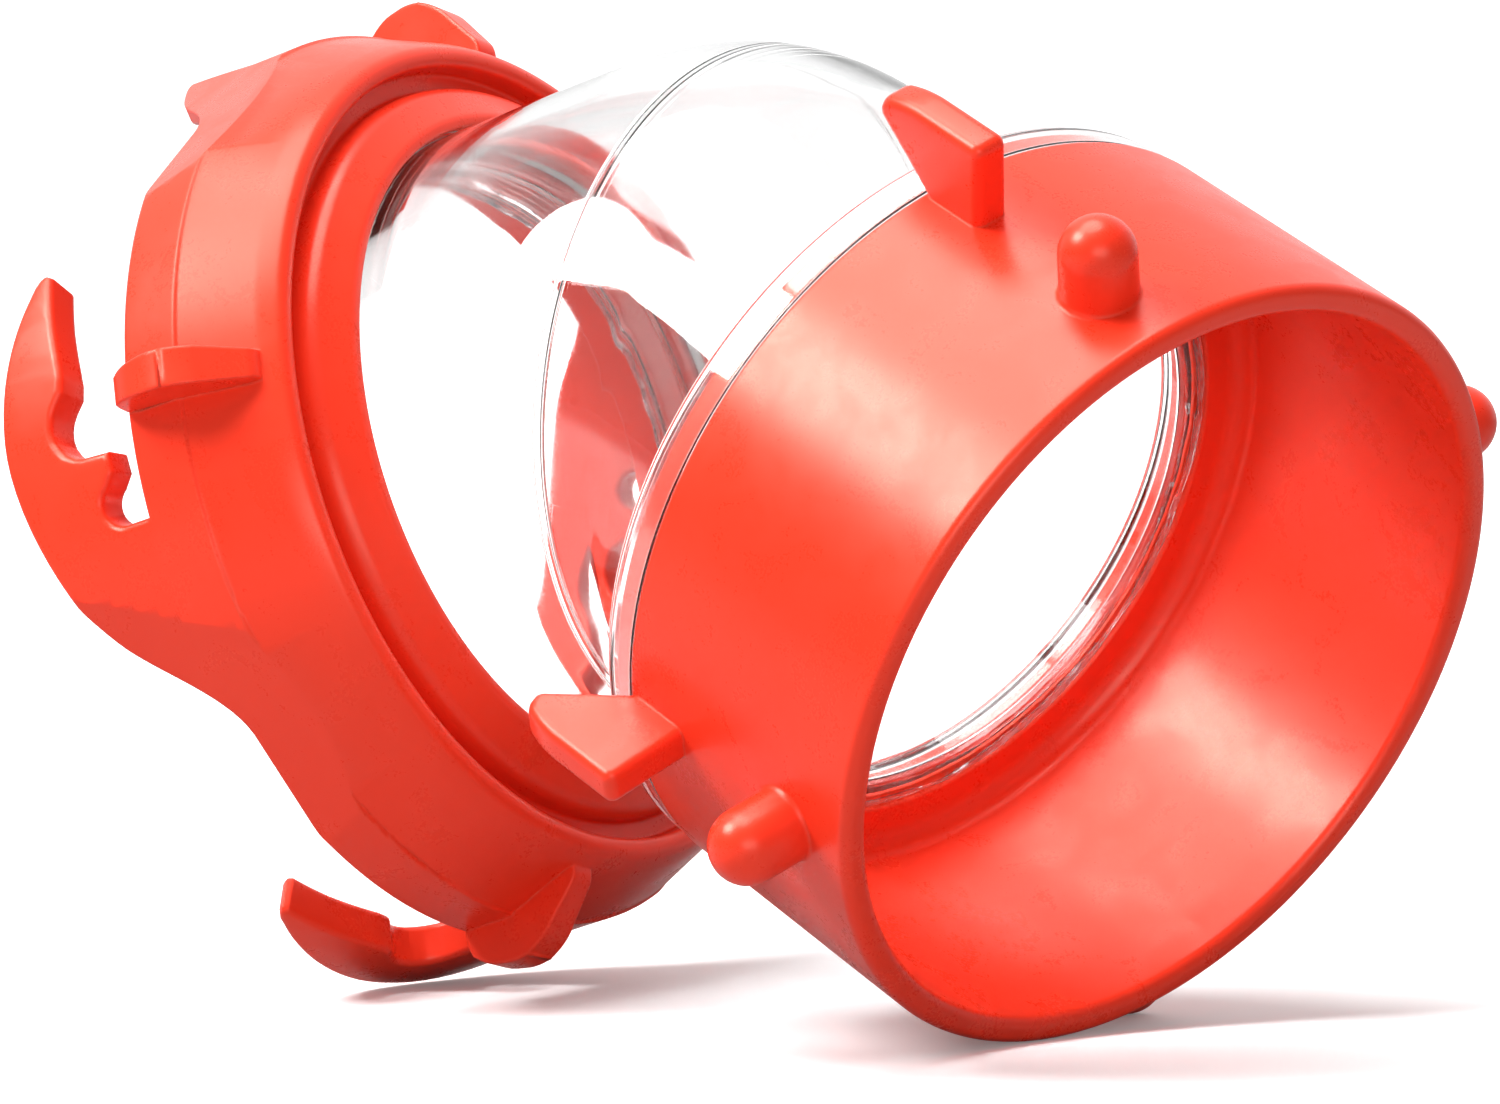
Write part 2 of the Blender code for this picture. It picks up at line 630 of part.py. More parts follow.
def rest_pose(frame, pieces):
    """Lay the adapter on the floor on the face of its hull that carries its weight."""
    bpy.context.view_layer.update()
    bm = bmesh.new()
    weight = 0.0
    centre = Vector((0.0, 0.0, 0.0))
    for piece in pieces:
        part = bmesh.new()
        part.from_mesh(piece.data)
        part.transform(piece.matrix_world)
        bmesh.ops.triangulate(part, faces=part.faces[:])
        for face in part.faces:
            a, b, c = (vert.co for vert in face.verts)
            share = a.dot(b.cross(c)) / 6
            weight += share
            centre += share * (a + b + c) / 4
        for vert in part.verts:
            bm.verts.new(vert.co)
        part.free()
    centre /= weight
    hull = bmesh.ops.convex_hull(bm, input=bm.verts[:])
    faces = [item for item in hull["geom"] if isinstance(item, bmesh.types.BMFace)]
    down = NOMINAL_DOWN.normalized()
    for _ in range(12):
        nearest = None
        for face in faces:
            normal = face.normal
            if (face.verts[0].co - centre).dot(normal) < 0:
                normal = -normal
            slope = normal.dot(down)
            if slope <= 0:
                continue
            reach = (face.verts[0].co - centre).dot(normal) / slope
            if nearest is None or reach < nearest[0]:
                nearest = (reach, normal.copy())
        if (nearest[1] - down).length < 1e-6:
            break
        down = nearest[1]
    bm.free()
    up = -down
    side = Vector((1.0, 0.0, 0.0))
    forward = (side - up * side.dot(up)).normalized()
    frame.rotation_euler = Matrix((forward, up.cross(forward), up)).to_euler()
    bpy.context.view_layer.update()
    low = Vector((math.inf,) * 3)
    high = Vector((-math.inf,) * 3)
    for piece in pieces:
        for vert in piece.data.vertices:
            at = piece.matrix_world @ vert.co
            low = Vector(map(min, low, at))
            high = Vector(map(max, high, at))
    frame.location = (-(low.x + high.x) / 2, -(low.y + high.y) / 2, -low.z)


def empty(name, home, parent, rotation):
    """An empty that carries pieces."""
    made = bpy.data.objects.new(name, None)
    home.objects.link(made)
    made.parent = parent
    made.rotation_euler = rotation.to_euler()
    return made


def main():
    """Build the adapter and lay it down."""
    clear_scene()
    home = collection(OBJECT_NAME)
    cutters = collection(OBJECT_NAME + "_cutters")
    clear = plastic("clear_plastic", (0.93, 0.95, 0.96), 0.06, 0.9)
    weld_clear = plastic("clear_ring_plastic", (0.93, 0.93, 0.94), 0.15, 0.8)
    orange = plastic("orange_red_plastic", (0.80, 0.06, 0.02), 0.32)
    rubber = plastic("seal_rubber", (0.02, 0.02, 0.02), 0.7)
    silicone = plastic("seal_silicone", (0.75, 0.75, 0.74), 0.45)

    frame = empty("adapter_frame", home, None, Matrix.Identity(4))
    collar_swivel = empty("lug_collar_swivel", home, frame, leg_frame(1.0))
    hook_swivel = empty("hook_ring_swivel", home, frame, leg_frame(-1.0))

    elbow = clear_elbow(home, clear)
    elbow.parent = frame
    collar = lug_collar(home, cutters, orange)
    collar_retainer = ring(
        "collar_retaining_ring", SLEEVE_BORE_R, RETAINER_R, RETAINER_FLOOR + RUNNING_GAP,
        COLLAR_FLOOR + RUNNING_GAP, home, weld_clear,
    )
    seal_middle = COLLAR_WEB_BACK + SEAL_SECTION / 2
    collar_seal = cord_ring(
        "collar_swivel_seal", COLLAR_SEAL_R, seal_middle, SEAL_SECTION, home, silicone
    )
    for piece in (collar, collar_retainer, collar_seal):
        piece.parent = collar_swivel

    hooks = hook_ring(home, cutters, orange)
    hook_retainer = ring(
        "hook_retaining_ring", SLEEVE_BORE_R, HOOK_COUNTERBORE_R - RUNNING_GAP,
        HUB_WEB_FRONT + RUNNING_GAP, HUB_WEB_FRONT + RUNNING_GAP + HOOK_RETAINER_THICKNESS,
        home, weld_clear,
    )
    gasket = ring(
        "hook_face_seal", GASKET_LIP_R + RUNNING_GAP, SKIRT_BORE_R - RUNNING_GAP, GASKET_BACK,
        GASKET_BACK + GASKET_THICKNESS, home, rubber, 0.5 * MM,
    )
    hook_seal = cord_ring(
        "hook_swivel_seal", HUB_BORE_R + SEAL_GROOVE_DEPTH / 2, HOOK_SEAL_STATION,
        SEAL_SECTION - 0.2 * MM, home, silicone,
    )
    for piece in (hooks, hook_retainer, gasket, hook_seal):
        piece.parent = hook_swivel
    pieces = [
        elbow, collar, collar_retainer, collar_seal, hooks, hook_retainer, gasket, hook_seal,
    ]
    rest_pose(frame, pieces)


main()
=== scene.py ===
"""Looks of the swivelling 45 degree hose adapter: clear elbow, bayonet hook ring and lug collar.

Every piece is modelled in the frame of the leg it sits on, whose Z runs out along the leg from
the point where the two leg axes cross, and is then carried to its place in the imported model.
Sizes are in metres.
"""

import json
import logging
import math
from dataclasses import dataclass
from enum import Enum
from typing import Callable, Iterable, Sequence

import bmesh
import bpy
from mathutils import Matrix, Vector, noise
from mathutils.geometry import interpolate_bezier


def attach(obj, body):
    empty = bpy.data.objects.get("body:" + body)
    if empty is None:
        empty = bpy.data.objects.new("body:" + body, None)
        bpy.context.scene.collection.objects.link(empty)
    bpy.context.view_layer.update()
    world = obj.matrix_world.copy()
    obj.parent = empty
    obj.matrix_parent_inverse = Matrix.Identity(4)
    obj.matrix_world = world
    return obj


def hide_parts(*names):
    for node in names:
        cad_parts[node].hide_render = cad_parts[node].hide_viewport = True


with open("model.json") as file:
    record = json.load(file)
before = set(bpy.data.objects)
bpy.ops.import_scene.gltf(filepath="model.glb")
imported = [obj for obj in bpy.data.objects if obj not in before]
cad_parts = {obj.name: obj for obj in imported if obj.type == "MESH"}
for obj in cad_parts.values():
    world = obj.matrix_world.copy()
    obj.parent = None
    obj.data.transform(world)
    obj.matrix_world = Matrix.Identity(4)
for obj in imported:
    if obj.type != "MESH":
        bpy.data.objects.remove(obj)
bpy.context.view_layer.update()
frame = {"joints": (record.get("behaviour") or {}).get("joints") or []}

MM = 0.001
GAP = 0.3 * MM
TOUCHING = 1e-7
SLIVER = 0.003 * MM
REPEATS = 4
LATHE_STEPS = 240
log = logging.getLogger("adapter")

Corner = tuple[float, float, float]
Colour = tuple[float, float, float]


class Body(Enum):
    """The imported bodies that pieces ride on."""

    ELBOW = "elbow"
    HOOKS = "hooks"
    COLLAR = "collar"


class Slot(Enum):
    """The record's material slots."""

    CLEAR = "clear_body"
    CLEAR_RING = "clear_ring"
    ORANGE = "orange_red"
    RUBBER = "black_rubber"
    SILICONE = "pale_silicone"


@dataclass(frozen=True)
class AdapterFrame:
    """Where the adapter lies: the crossing of its leg axes and the two axis directions."""

    crossing: Vector
    collar_axis: Vector
    hook_axis: Vector

    @classmethod
    def from_joints(cls, joints: list[dict]) -> "AdapterFrame":
        """Read the frame from the two swivel joints.

        Args:
            joints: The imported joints, one swivel for each turning ring.

        Returns:
            The adapter's frame.
        """
        found = {joint["child"]: joint for joint in joints}
        return cls(
            Vector(found[Body.COLLAR.value]["pos_m"]),
            Vector(found[Body.COLLAR.value]["axis"]).normalized(),
            Vector(found[Body.HOOKS.value]["axis"]).normalized(),
        )

    @property
    def elbow(self) -> Matrix:
        """The elbow's own frame: Z up through the crown and Y across the bend."""
        along = (self.collar_axis - self.hook_axis).normalized()
        crown = -(self.collar_axis + self.hook_axis).normalized()
        turned = Matrix((along, crown.cross(along), crown)).transposed().to_4x4()
        return Matrix.Translation(self.crossing) @ turned

    @property
    def half_bend(self) -> float:
        """Half the angle that the elbow turns a hose through."""
        return (math.pi - self.collar_axis.angle(self.hook_axis)) / 2

    def leg(self, body: Body) -> Matrix:
        """The frame of one leg, its Z running out along the leg.

        Args:
            body: The collar's body or the hooks' body.

        Returns:
            The leg's frame in the world.
        """
        out = self.collar_axis if body is Body.COLLAR else self.hook_axis
        across = self.elbow.to_3x3().col[1]
        turned = Matrix((across, out.cross(across), out)).transposed().to_4x4()
        return Matrix.Translation(self.crossing) @ turned


FRAME = AdapterFrame.from_joints(frame["joints"])


# Node groups and finishes


class Tree:
    """A node tree with short ways of adding and joining nodes."""

    def __init__(self, tree: bpy.types.NodeTree) -> None:
        """Keep the tree.

        Args:
            tree: The node tree to build in.
        """
        self.tree = tree

    def add(self, kind: str, **values: object) -> bpy.types.Node:
        """Add a node and set its properties or input sockets by name.

        Args:
            kind: The node's type name.
            values: Properties, or input values with spaces written as underscores.

        Returns:
            The new node.
        """
        node = self.tree.nodes.new(kind)
        for name, value in values.items():
            if hasattr(node, name):
                setattr(node, name, value)
            else:
                node.inputs[name.replace("_", " ")].default_value = value
        return node

    def join(self, source: bpy.types.NodeSocket, target: bpy.types.NodeSocket) -> None:
        """Link two sockets."""
        self.tree.links.new(source, target)

    def maths(self, operation: str, *terms: object) -> bpy.types.NodeSocket:
        """Add a Math node.

        Args:
            operation: The Math node's operation.
            terms: Its sockets or numbers, in order.

        Returns:
            The result's socket.
        """
        node = self.add("ShaderNodeMath", operation=operation)
        for socket, value in zip(node.inputs, terms):
            if isinstance(value, bpy.types.NodeSocket):
                self.join(value, socket)
            else:
                socket.default_value = value
        return node.outputs[0]

    def remap(
        self, value: bpy.types.NodeSocket, low: float, high: float, to_low: float, to_high: float
    ) -> bpy.types.NodeSocket:
        """Map a range smoothly onto another.

        Args:
            value: The socket to map.
            low: Start of the range.
            high: End of the range.
            to_low: What the start becomes.
            to_high: What the end becomes.

        Returns:
            The mapped value's socket.
        """
        node = self.add("ShaderNodeMapRange", interpolation_type="SMOOTHSTEP")
        self.join(value, node.inputs["Value"])
        for name, number in zip(("From Min", "From Max", "To Min", "To Max"),
                                (low, high, to_low, to_high)):
            node.inputs[name].default_value = number
        return node.outputs["Result"]

    def noise(
        self, place: bpy.types.NodeSocket, scale: float, detail: float = 3.0, roughness: float = 0.5
    ) -> bpy.types.NodeSocket:
        """Add a noise pattern.

        Args:
            place: The coordinates it reads.
            scale: Cycles per metre.
            detail: Octaves.
            roughness: How strong the finer octaves are.

        Returns:
            The pattern's socket, about 0 to 1.
        """
        node = self.add("ShaderNodeTexNoise", Scale=scale, Detail=detail, Roughness=roughness)
        self.join(place, node.inputs["Vector"])
        return node.outputs[0]

    def spots(self, place: bpy.types.NodeSocket, scale: float, size: float) -> bpy.types.NodeSocket:
        """Scattered round specks.

        Args:
            place: The coordinates it reads.
            scale: Cells per metre.
            size: Radius of a speck as a share of its cell.

        Returns:
            A mask socket that is 1 inside a speck.
        """
        node = self.add("ShaderNodeTexVoronoi", feature="F1", Scale=scale, Randomness=1.0)
        self.join(place, node.inputs["Vector"])
        return self.remap(node.outputs["Distance"], size * 0.5, size, 1.0, 0.0)

    def placed(self, where: Matrix) -> bpy.types.NodeSocket:
        """Object coordinates seen from a frame of the adapter.

        Args:
            where: The frame whose coordinates are wanted.

        Returns:
            The coordinates' socket.
        """
        place = self.add("ShaderNodeTexCoord").outputs["Object"]
        mapping = self.add("ShaderNodeMapping", vector_type="TEXTURE")
        mapping.inputs["Location"].default_value = where.to_translation()
        mapping.inputs["Rotation"].default_value = where.to_euler()
        self.join(place, mapping.inputs["Vector"])
        return mapping.outputs["Vector"]


def new_group(
    name: str, takes: dict[str, float], gives: Sequence[str]
) -> tuple[bpy.types.NodeTree, Tree, bpy.types.Node, bpy.types.Node]:
    """Start a shader node group.

    Args:
        name: The group's name.
        takes: Its number inputs and their defaults. Every group also takes Place.
        gives: The names of its outputs.

    Returns:
        The group, its builder, its input node and its output node.
    """
    group = bpy.data.node_groups.new(name, "ShaderNodeTree")
    group.interface.new_socket("Place", in_out="INPUT", socket_type="NodeSocketVector")
    for title, value in takes.items():
        made = group.interface.new_socket(title, in_out="INPUT", socket_type="NodeSocketFloat")
        made.default_value = value
    for title in gives:
        group.interface.new_socket(title, in_out="OUTPUT", socket_type="NodeSocketFloat")
    tree = Tree(group)
    return group, tree, tree.add("NodeGroupInput"), tree.add("NodeGroupOutput")


class Effects:
    """Surface effects that several finishes share, each built once as a node group."""

    def __init__(self) -> None:
        """Build the groups."""
        self.skin = self.moulded_skin()
        self.scuffs = self.hairline_scuffs()

    @staticmethod
    def moulded_skin() -> bpy.types.NodeTree:
        """The uneven skin of a moulding: slow shade drift, flow marks and fine grain.

        Returns:
            The group, giving Shade, Gloss and Height masks from 0 to 1.
        """
        takes = {"Drift Scale": 22.0, "Flow Scale": 140.0, "Grain Scale": 2600.0, "Grain": 0.3}
        group, tree, given, out = new_group("moulded_skin", takes, ("Shade", "Gloss", "Height"))
        place = given.outputs["Place"]
        drift = tree.add("ShaderNodeTexNoise", Detail=2.0)
        flow = tree.add("ShaderNodeTexNoise", Detail=4.0, Roughness=0.6, Distortion=0.8)
        grain = tree.add("ShaderNodeTexNoise", Detail=2.0, Roughness=0.6)
        for node, title in ((drift, "Drift Scale"), (flow, "Flow Scale"), (grain, "Grain Scale")):
            tree.join(place, node.inputs["Vector"])
            tree.join(given.outputs[title], node.inputs["Scale"])
        tree.join(tree.remap(drift.outputs[0], 0.3, 0.7, 0.0, 1.0), out.inputs["Shade"])
        mixed = tree.maths("MULTIPLY", flow.outputs[0], 0.7)
        mixed = tree.maths("ADD", mixed, tree.maths("MULTIPLY", grain.outputs[0], 0.3))
        tree.join(tree.remap(mixed, 0.35, 0.65, 0.0, 1.0), out.inputs["Gloss"])
        fine = tree.maths("MULTIPLY", grain.outputs[0], given.outputs["Grain"])
        tree.join(tree.maths("ADD", fine, flow.outputs[0]), out.inputs["Height"])
        return group

    @staticmethod
    def hairline_scuffs() -> bpy.types.NodeTree:
        """Short fine scratches and specks of dust from handling.

        Returns:
            The group, giving a Mask that is 1 on a scratch or speck.
        """
        group, tree, given, out = new_group("hairline_scuffs", {"Amount": 1.0}, ("Mask",))
        place = given.outputs["Place"]
        total = tree.spots(place, 320.0, 0.055)
        for turn, scale in ((0.4, 150.0), (1.9, 210.0)):
            lean = tree.add("ShaderNodeMapping")
            lean.inputs["Rotation"].default_value = (turn, turn * 0.7, turn * 1.3)
            lean.inputs["Scale"].default_value = (1.0, 0.045, 1.0)
            tree.join(place, lean.inputs["Vector"])
            cells = tree.add("ShaderNodeTexVoronoi", feature="DISTANCE_TO_EDGE", Scale=scale)
            tree.join(lean.outputs["Vector"], cells.inputs["Vector"])
            line = tree.remap(cells.outputs["Distance"], 0.0, 0.012, 1.0, 0.0)
            where = tree.remap(tree.noise(place, scale * 0.4), 0.58, 0.66, 0.0, 1.0)
            total = tree.maths("MAXIMUM", total, tree.maths("MULTIPLY", line, where))
        tree.join(tree.maths("MULTIPLY", total, given.outputs["Amount"]), out.inputs["Mask"])
        return group


EFFECTS = Effects()


@dataclass(frozen=True)
class Finish:
    """What every finish has: a name, a frame for its pattern and a shader to start from."""

    name: str
    where: Matrix

    def start(self) -> tuple[bpy.types.Material, Tree, bpy.types.Node, bpy.types.NodeSocket]:
        """Begin a node material.

        Returns:
            The material, its tree, its Principled shader and the pattern coordinates.
        """
        material = bpy.data.materials.new(self.name)
        material.use_nodes = True
        tree = Tree(material.node_tree)
        shader = material.node_tree.nodes["Principled BSDF"]
        return material, tree, shader, tree.placed(self.where)

    @staticmethod
    def effect(tree: Tree, group: bpy.types.NodeTree, place: bpy.types.NodeSocket,
               **values: float) -> bpy.types.Node:
        """Place a shared effect in a material.

        Args:
            tree: The material's tree.
            group: The effect's group.
            place: The pattern coordinates.
            values: The effect's inputs, with spaces written as underscores.

        Returns:
            The group node.
        """
        node = tree.add("ShaderNodeGroup", node_tree=group)
        tree.join(place, node.inputs["Place"])
        for name, value in values.items():
            node.inputs[name.replace("_", " ")].default_value = value
        return node

    @staticmethod
    def bump(tree: Tree, height: bpy.types.NodeSocket, depth: float,
             under: bpy.types.NodeSocket | None = None) -> bpy.types.NodeSocket:
        """Turn a height into a normal.

        Args:
            tree: The material's tree.
            height: The height pattern.
            depth: How deep it is, in metres.
            under: A normal that it lies over.

        Returns:
            The normal's socket.
        """
        node = tree.add("ShaderNodeBump", Strength=1.0, Distance=depth)
        tree.join(height, node.inputs["Height"])
        if under is not None:
            tree.join(under, node.inputs["Normal"])
        return node.outputs["Normal"]

    @staticmethod
    def blend(tree: Tree, mask: bpy.types.NodeSocket, first: Colour, second: Colour,
              ) -> bpy.types.NodeSocket:
        """Blend two colours by a mask.

        Args:
            tree: The material's tree.
            mask: 0 for the first colour and 1 for the second.
            first: The first colour.
            second: The second colour.

        Returns:
            The colour's socket.
        """
        node = tree.add("ShaderNodeMix", data_type="RGBA")
        node.inputs[6].default_value = (*first, 1.0)
        node.inputs[7].default_value = (*second, 1.0)
        tree.join(mask, node.inputs["Factor"])
        return node.outputs[2]


@dataclass(frozen=True)
class MouldedPlastic(Finish):
    """Opaque injection-moulded plastic with a satin gloss."""

    colour: Colour
    deep: Colour
    worn: Colour
    smoothest: float = 0.27
    roughest: float = 0.34
    edge_round: float = 0.5 * MM

    def material(self) -> bpy.types.Material:
        """Build the material.

        Returns:
            The material.
        """
        material, tree, shader, place = self.start()
        skin = self.effect(tree, EFFECTS.skin, place)
        scuffs = self.effect(tree, EFFECTS.scuffs, place, Amount=0.18).outputs["Mask"]
        soft = tree.add("ShaderNodeBevel", samples=6, Radius=self.edge_round)
        true = tree.add("ShaderNodeNewGeometry")
        facing = tree.add("ShaderNodeVectorMath", operation="DOT_PRODUCT")
        tree.join(soft.outputs["Normal"], facing.inputs[0])
        tree.join(true.outputs["Normal"], facing.inputs[1])
        edge = tree.remap(facing.outputs["Value"], 0.80, 0.985, 1.0, 0.0)
        edge = tree.maths("MULTIPLY", edge, tree.remap(tree.noise(place, 420.0), 0.4, 0.7, 0.1, 0.5))
        body = self.blend(tree, skin.outputs["Shade"], self.colour, self.deep)
        worn = tree.add("ShaderNodeMix", data_type="RGBA")
        tree.join(body, worn.inputs[6])
        worn.inputs[7].default_value = (*self.worn, 1.0)
        marks = tree.maths("MAXIMUM", tree.maths("MULTIPLY", scuffs, 0.25), edge)
        tree.join(marks, worn.inputs["Factor"])
        tree.join(worn.outputs[2], shader.inputs["Base Color"])
        gloss = tree.remap(skin.outputs["Gloss"], 0.0, 1.0, self.smoothest, self.roughest)
        gloss = tree.maths("ADD", gloss, tree.maths("MULTIPLY", scuffs, 0.18))
        tree.join(gloss, shader.inputs["Roughness"])
        skin_normal = self.bump(tree, skin.outputs["Height"], 0.012 * MM, soft.outputs["Normal"])
        groove = tree.maths("MULTIPLY", scuffs, -1.0)
        tree.join(self.bump(tree, groove, 0.01 * MM, skin_normal), shader.inputs["Normal"])
        shader.inputs["Specular IOR Level"].default_value = 0.42
        shader.inputs["Specular Tint"].default_value = (1.0, 0.80, 0.66, 1.0)
        shader.inputs["IOR"].default_value = 1.49
        return material


@dataclass(frozen=True)
class ClearPlastic(Finish):
    """Clear moulded plastic: flow ripples, small blisters and a parting line round the bend."""

    tint: Colour
    smoothest: float = 0.015
    roughest: float = 0.07
    ripple: float = 0.008 * MM
    parting: float = 0.0
    flash: float = 0.0
    shade: Colour = (0.76, 0.775, 0.78)

    def material(self) -> bpy.types.Material:
        """Build the material.

        Returns:
            The material.
        """
        material, tree, shader, place = self.start()
        skin = self.effect(tree, EFFECTS.skin, place, Grain=0.02, Flow_Scale=38.0)
        scuffs = self.effect(tree, EFFECTS.scuffs, place, Amount=0.7).outputs["Mask"]
        shader.inputs["Base Color"].default_value = (*self.tint, 1.0)
        shader.inputs["Transmission Weight"].default_value = 1.0
        shader.inputs["IOR"].default_value = 1.5
        gloss = tree.remap(skin.outputs["Gloss"], 0.0, 1.0, self.smoothest, self.roughest)
        gloss = tree.maths("ADD", gloss, tree.maths("MULTIPLY", scuffs, 0.12))
        normal = self.bump(tree, skin.outputs["Height"], self.ripple)
        if self.flash:
            ragged = tree.remap(tree.noise(place, 420.0, 5.0, 0.7), 0.3, 0.7, 0.0, 1.0)
            gloss = tree.maths("ADD", gloss, tree.maths("MULTIPLY", ragged, 0.12))
            normal = self.bump(tree, ragged, self.flash, normal)
        if self.parting:
            axes = tree.add("ShaderNodeSeparateXYZ")
            tree.join(place, axes.inputs[0])
            off = tree.maths("ABSOLUTE", axes.outputs["X"])
            line = tree.remap(off, 0.05 * MM, 0.35 * MM, 1.0, 0.0)
            normal = self.bump(tree, line, self.parting, normal)
            blisters = tree.spots(place, 34.0, 0.045)
            normal = self.bump(tree, blisters, 0.25 * MM, normal)
            gloss = tree.maths("ADD", gloss, tree.maths("MULTIPLY", line, 0.12))
        tree.join(gloss, shader.inputs["Roughness"])
        tree.join(normal, shader.inputs["Normal"])
        self.let_light_through(tree, shader)
        return material

    def let_light_through(self, tree: Tree, shader: bpy.types.Node) -> None:
        """Let lamps shine through the plastic, a little shaded.

        Args:
            tree: The material's tree.
            shader: Its Principled shader.
        """
        output = next(node for node in tree.tree.nodes if node.type == "OUTPUT_MATERIAL")
        path = tree.add("ShaderNodeLightPath")
        clear = tree.add("ShaderNodeBsdfTransparent", Color=(*self.shade, 1.0))
        mix = tree.add("ShaderNodeMixShader")
        tree.join(path.outputs["Is Shadow Ray"], mix.inputs[0])
        tree.join(shader.outputs[0], mix.inputs[1])
        tree.join(clear.outputs[0], mix.inputs[2])
        tree.join(mix.outputs[0], output.inputs["Surface"])


@dataclass(frozen=True)
class SoftRubber(Finish):
    """Matt seal rubber with talc-like bloom."""

    colour: Colour
    bloom: Colour
    roughness: float = 0.6

    def material(self) -> bpy.types.Material:
        """Build the material.

        Returns:
            The material.
        """
        material, tree, shader, place = self.start()
        skin = self.effect(tree, EFFECTS.skin, place, Flow_Scale=260.0, Grain_Scale=4200.0, Grain=0.6)
        colour = self.blend(tree, skin.outputs["Gloss"], self.colour, self.bloom)
        tree.join(colour, shader.inputs["Base Color"])
        gloss = tree.remap(skin.outputs["Gloss"], 0.0, 1.0, self.roughness, self.roughness + 0.2)
        tree.join(gloss, shader.inputs["Roughness"])
        tree.join(self.bump(tree, skin.outputs["Height"], 0.04 * MM), shader.inputs["Normal"])
        return material


# Modelling


def whole(bm: bmesh.types.BMesh) -> list[object]:
    """All of a bmesh's geometry."""
    return bm.verts[:] + bm.edges[:] + bm.faces[:]


def shift(bm: bmesh.types.BMesh, x: float, y: float, z: float) -> None:
    """Move a whole bmesh."""
    bmesh.ops.translate(bm, verts=bm.verts[:], vec=(x, y, z))


def swing(bm: bmesh.types.BMesh, angle: float, axis: str) -> None:
    """Turn a whole bmesh about an axis of its frame."""
    bmesh.ops.rotate(bm, verts=bm.verts[:], cent=(0, 0, 0), matrix=Matrix.Rotation(angle, 3, axis))


def moved(geometry: Iterable[object]) -> list[bmesh.types.BMVert]:
    """The vertices among what an operator made."""
    return [item for item in geometry if isinstance(item, bmesh.types.BMVert)]


def plate(corners: Sequence[Corner], segments: int = 6) -> bmesh.types.BMesh:
    """A flat face in the XZ plane with rounded corners.

    Args:
        corners: (x, z, radius) of each corner in order.
        segments: Steps in each rounded corner.

    Returns:
        A bmesh holding the one face.
    """
    bm = bmesh.new()
    verts = [bm.verts.new((x, 0.0, z)) for x, z, _ in corners]
    bm.faces.new(verts)
    for size in sorted({corner[2] for corner in corners if corner[2] > 0}):
        chosen = [vert for vert, corner in zip(verts, corners) if corner[2] == size]
        bmesh.ops.bevel(
            bm, geom=chosen, offset=size, offset_type="OFFSET", segments=segments, profile=0.5,
            affect="VERTICES", clamp_overlap=True, material=-1,
        )
    return bm


def lathe(bm: bmesh.types.BMesh, steps: int = LATHE_STEPS) -> bmesh.types.BMesh:
    """Turn the outline of a flat section once round Z.

    Args:
        bm: A bmesh holding the section as one face.
        steps: Steps round the turn.

    Returns:
        The same bmesh, now a closed ring.
    """
    section = bm.faces[:]
    bmesh.ops.delete(bm, geom=section, context="FACES_ONLY")
    bmesh.ops.spin(
        bm, geom=bm.verts[:] + bm.edges[:], cent=(0, 0, 0), axis=(0, 0, 1), dvec=(0, 0, 0),
        angle=math.tau, steps=steps, use_merge=True, use_duplicate=False,
    )
    bmesh.ops.remove_doubles(bm, verts=bm.verts[:], dist=TOUCHING)
    bmesh.ops.recalc_face_normals(bm, faces=bm.faces[:])
    return bm


def repeat_round(bm: bmesh.types.BMesh, phase: float) -> None:
    """Repeat a shape at equal turns about Z.

    Args:
        bm: The bmesh whose whole shape is repeated.
        phase: The angle of the first.
    """
    source = whole(bm)
    for turn in range(1, REPEATS):
        copy = bmesh.ops.duplicate(bm, geom=source)
        spin = Matrix.Rotation(math.tau * turn / REPEATS, 3, "Z")
        bmesh.ops.rotate(bm, verts=moved(copy["geom"]), cent=(0, 0, 0), matrix=spin)
    swing(bm, phase, "Z")


def blades(corners: Sequence[Corner], thickness: float, edge: float, phase: float,
           taper: float = 1.0, pinch: float = 0.0) -> bmesh.types.BMesh:
    """Flat lugs standing on a ring, their rims rounded over.

    Args:
        corners: (radius, station, rounding) of each corner of a lug's side.
        thickness: How thick a lug is.
        edge: How far its rims are rounded over.
        phase: The angle of the first lug.
        taper: Thickness at the top as a share of that at the root.
        pinch: How much of its thickness a lug loses towards its two ends.

    Returns:
        A bmesh of all the lugs.
    """
    bm = plate(corners)
    shift(bm, 0, -thickness / 2, 0)
    grown = bmesh.ops.extrude_face_region(bm, geom=bm.faces[:])
    bmesh.ops.translate(bm, verts=moved(grown["geom"]), vec=(0, thickness, 0))
    bmesh.ops.recalc_face_normals(bm, faces=bm.faces[:])
    low = min(vert.co.x for vert in bm.verts)
    high = max(vert.co.x for vert in bm.verts)
    back = min(vert.co.z for vert in bm.verts)
    front = max(vert.co.z for vert in bm.verts)
    for vert in bm.verts:
        share = (vert.co.x - low) / (high - low)
        off_middle = 2.0 * (vert.co.z - back) / (front - back) - 1.0
        vert.co.y *= (1.0 + (taper - 1.0) * share) * (1.0 - pinch * off_middle**2)
    rims = [e for e in bm.edges if abs(e.verts[0].co.y - e.verts[1].co.y) < thickness / 2]
    bmesh.ops.bevel(
        bm, geom=rims, offset=edge, offset_type="OFFSET", segments=4, profile=0.5,
        affect="EDGES", clamp_overlap=True, material=-1,
    )
    repeat_round(bm, phase)
    return bm


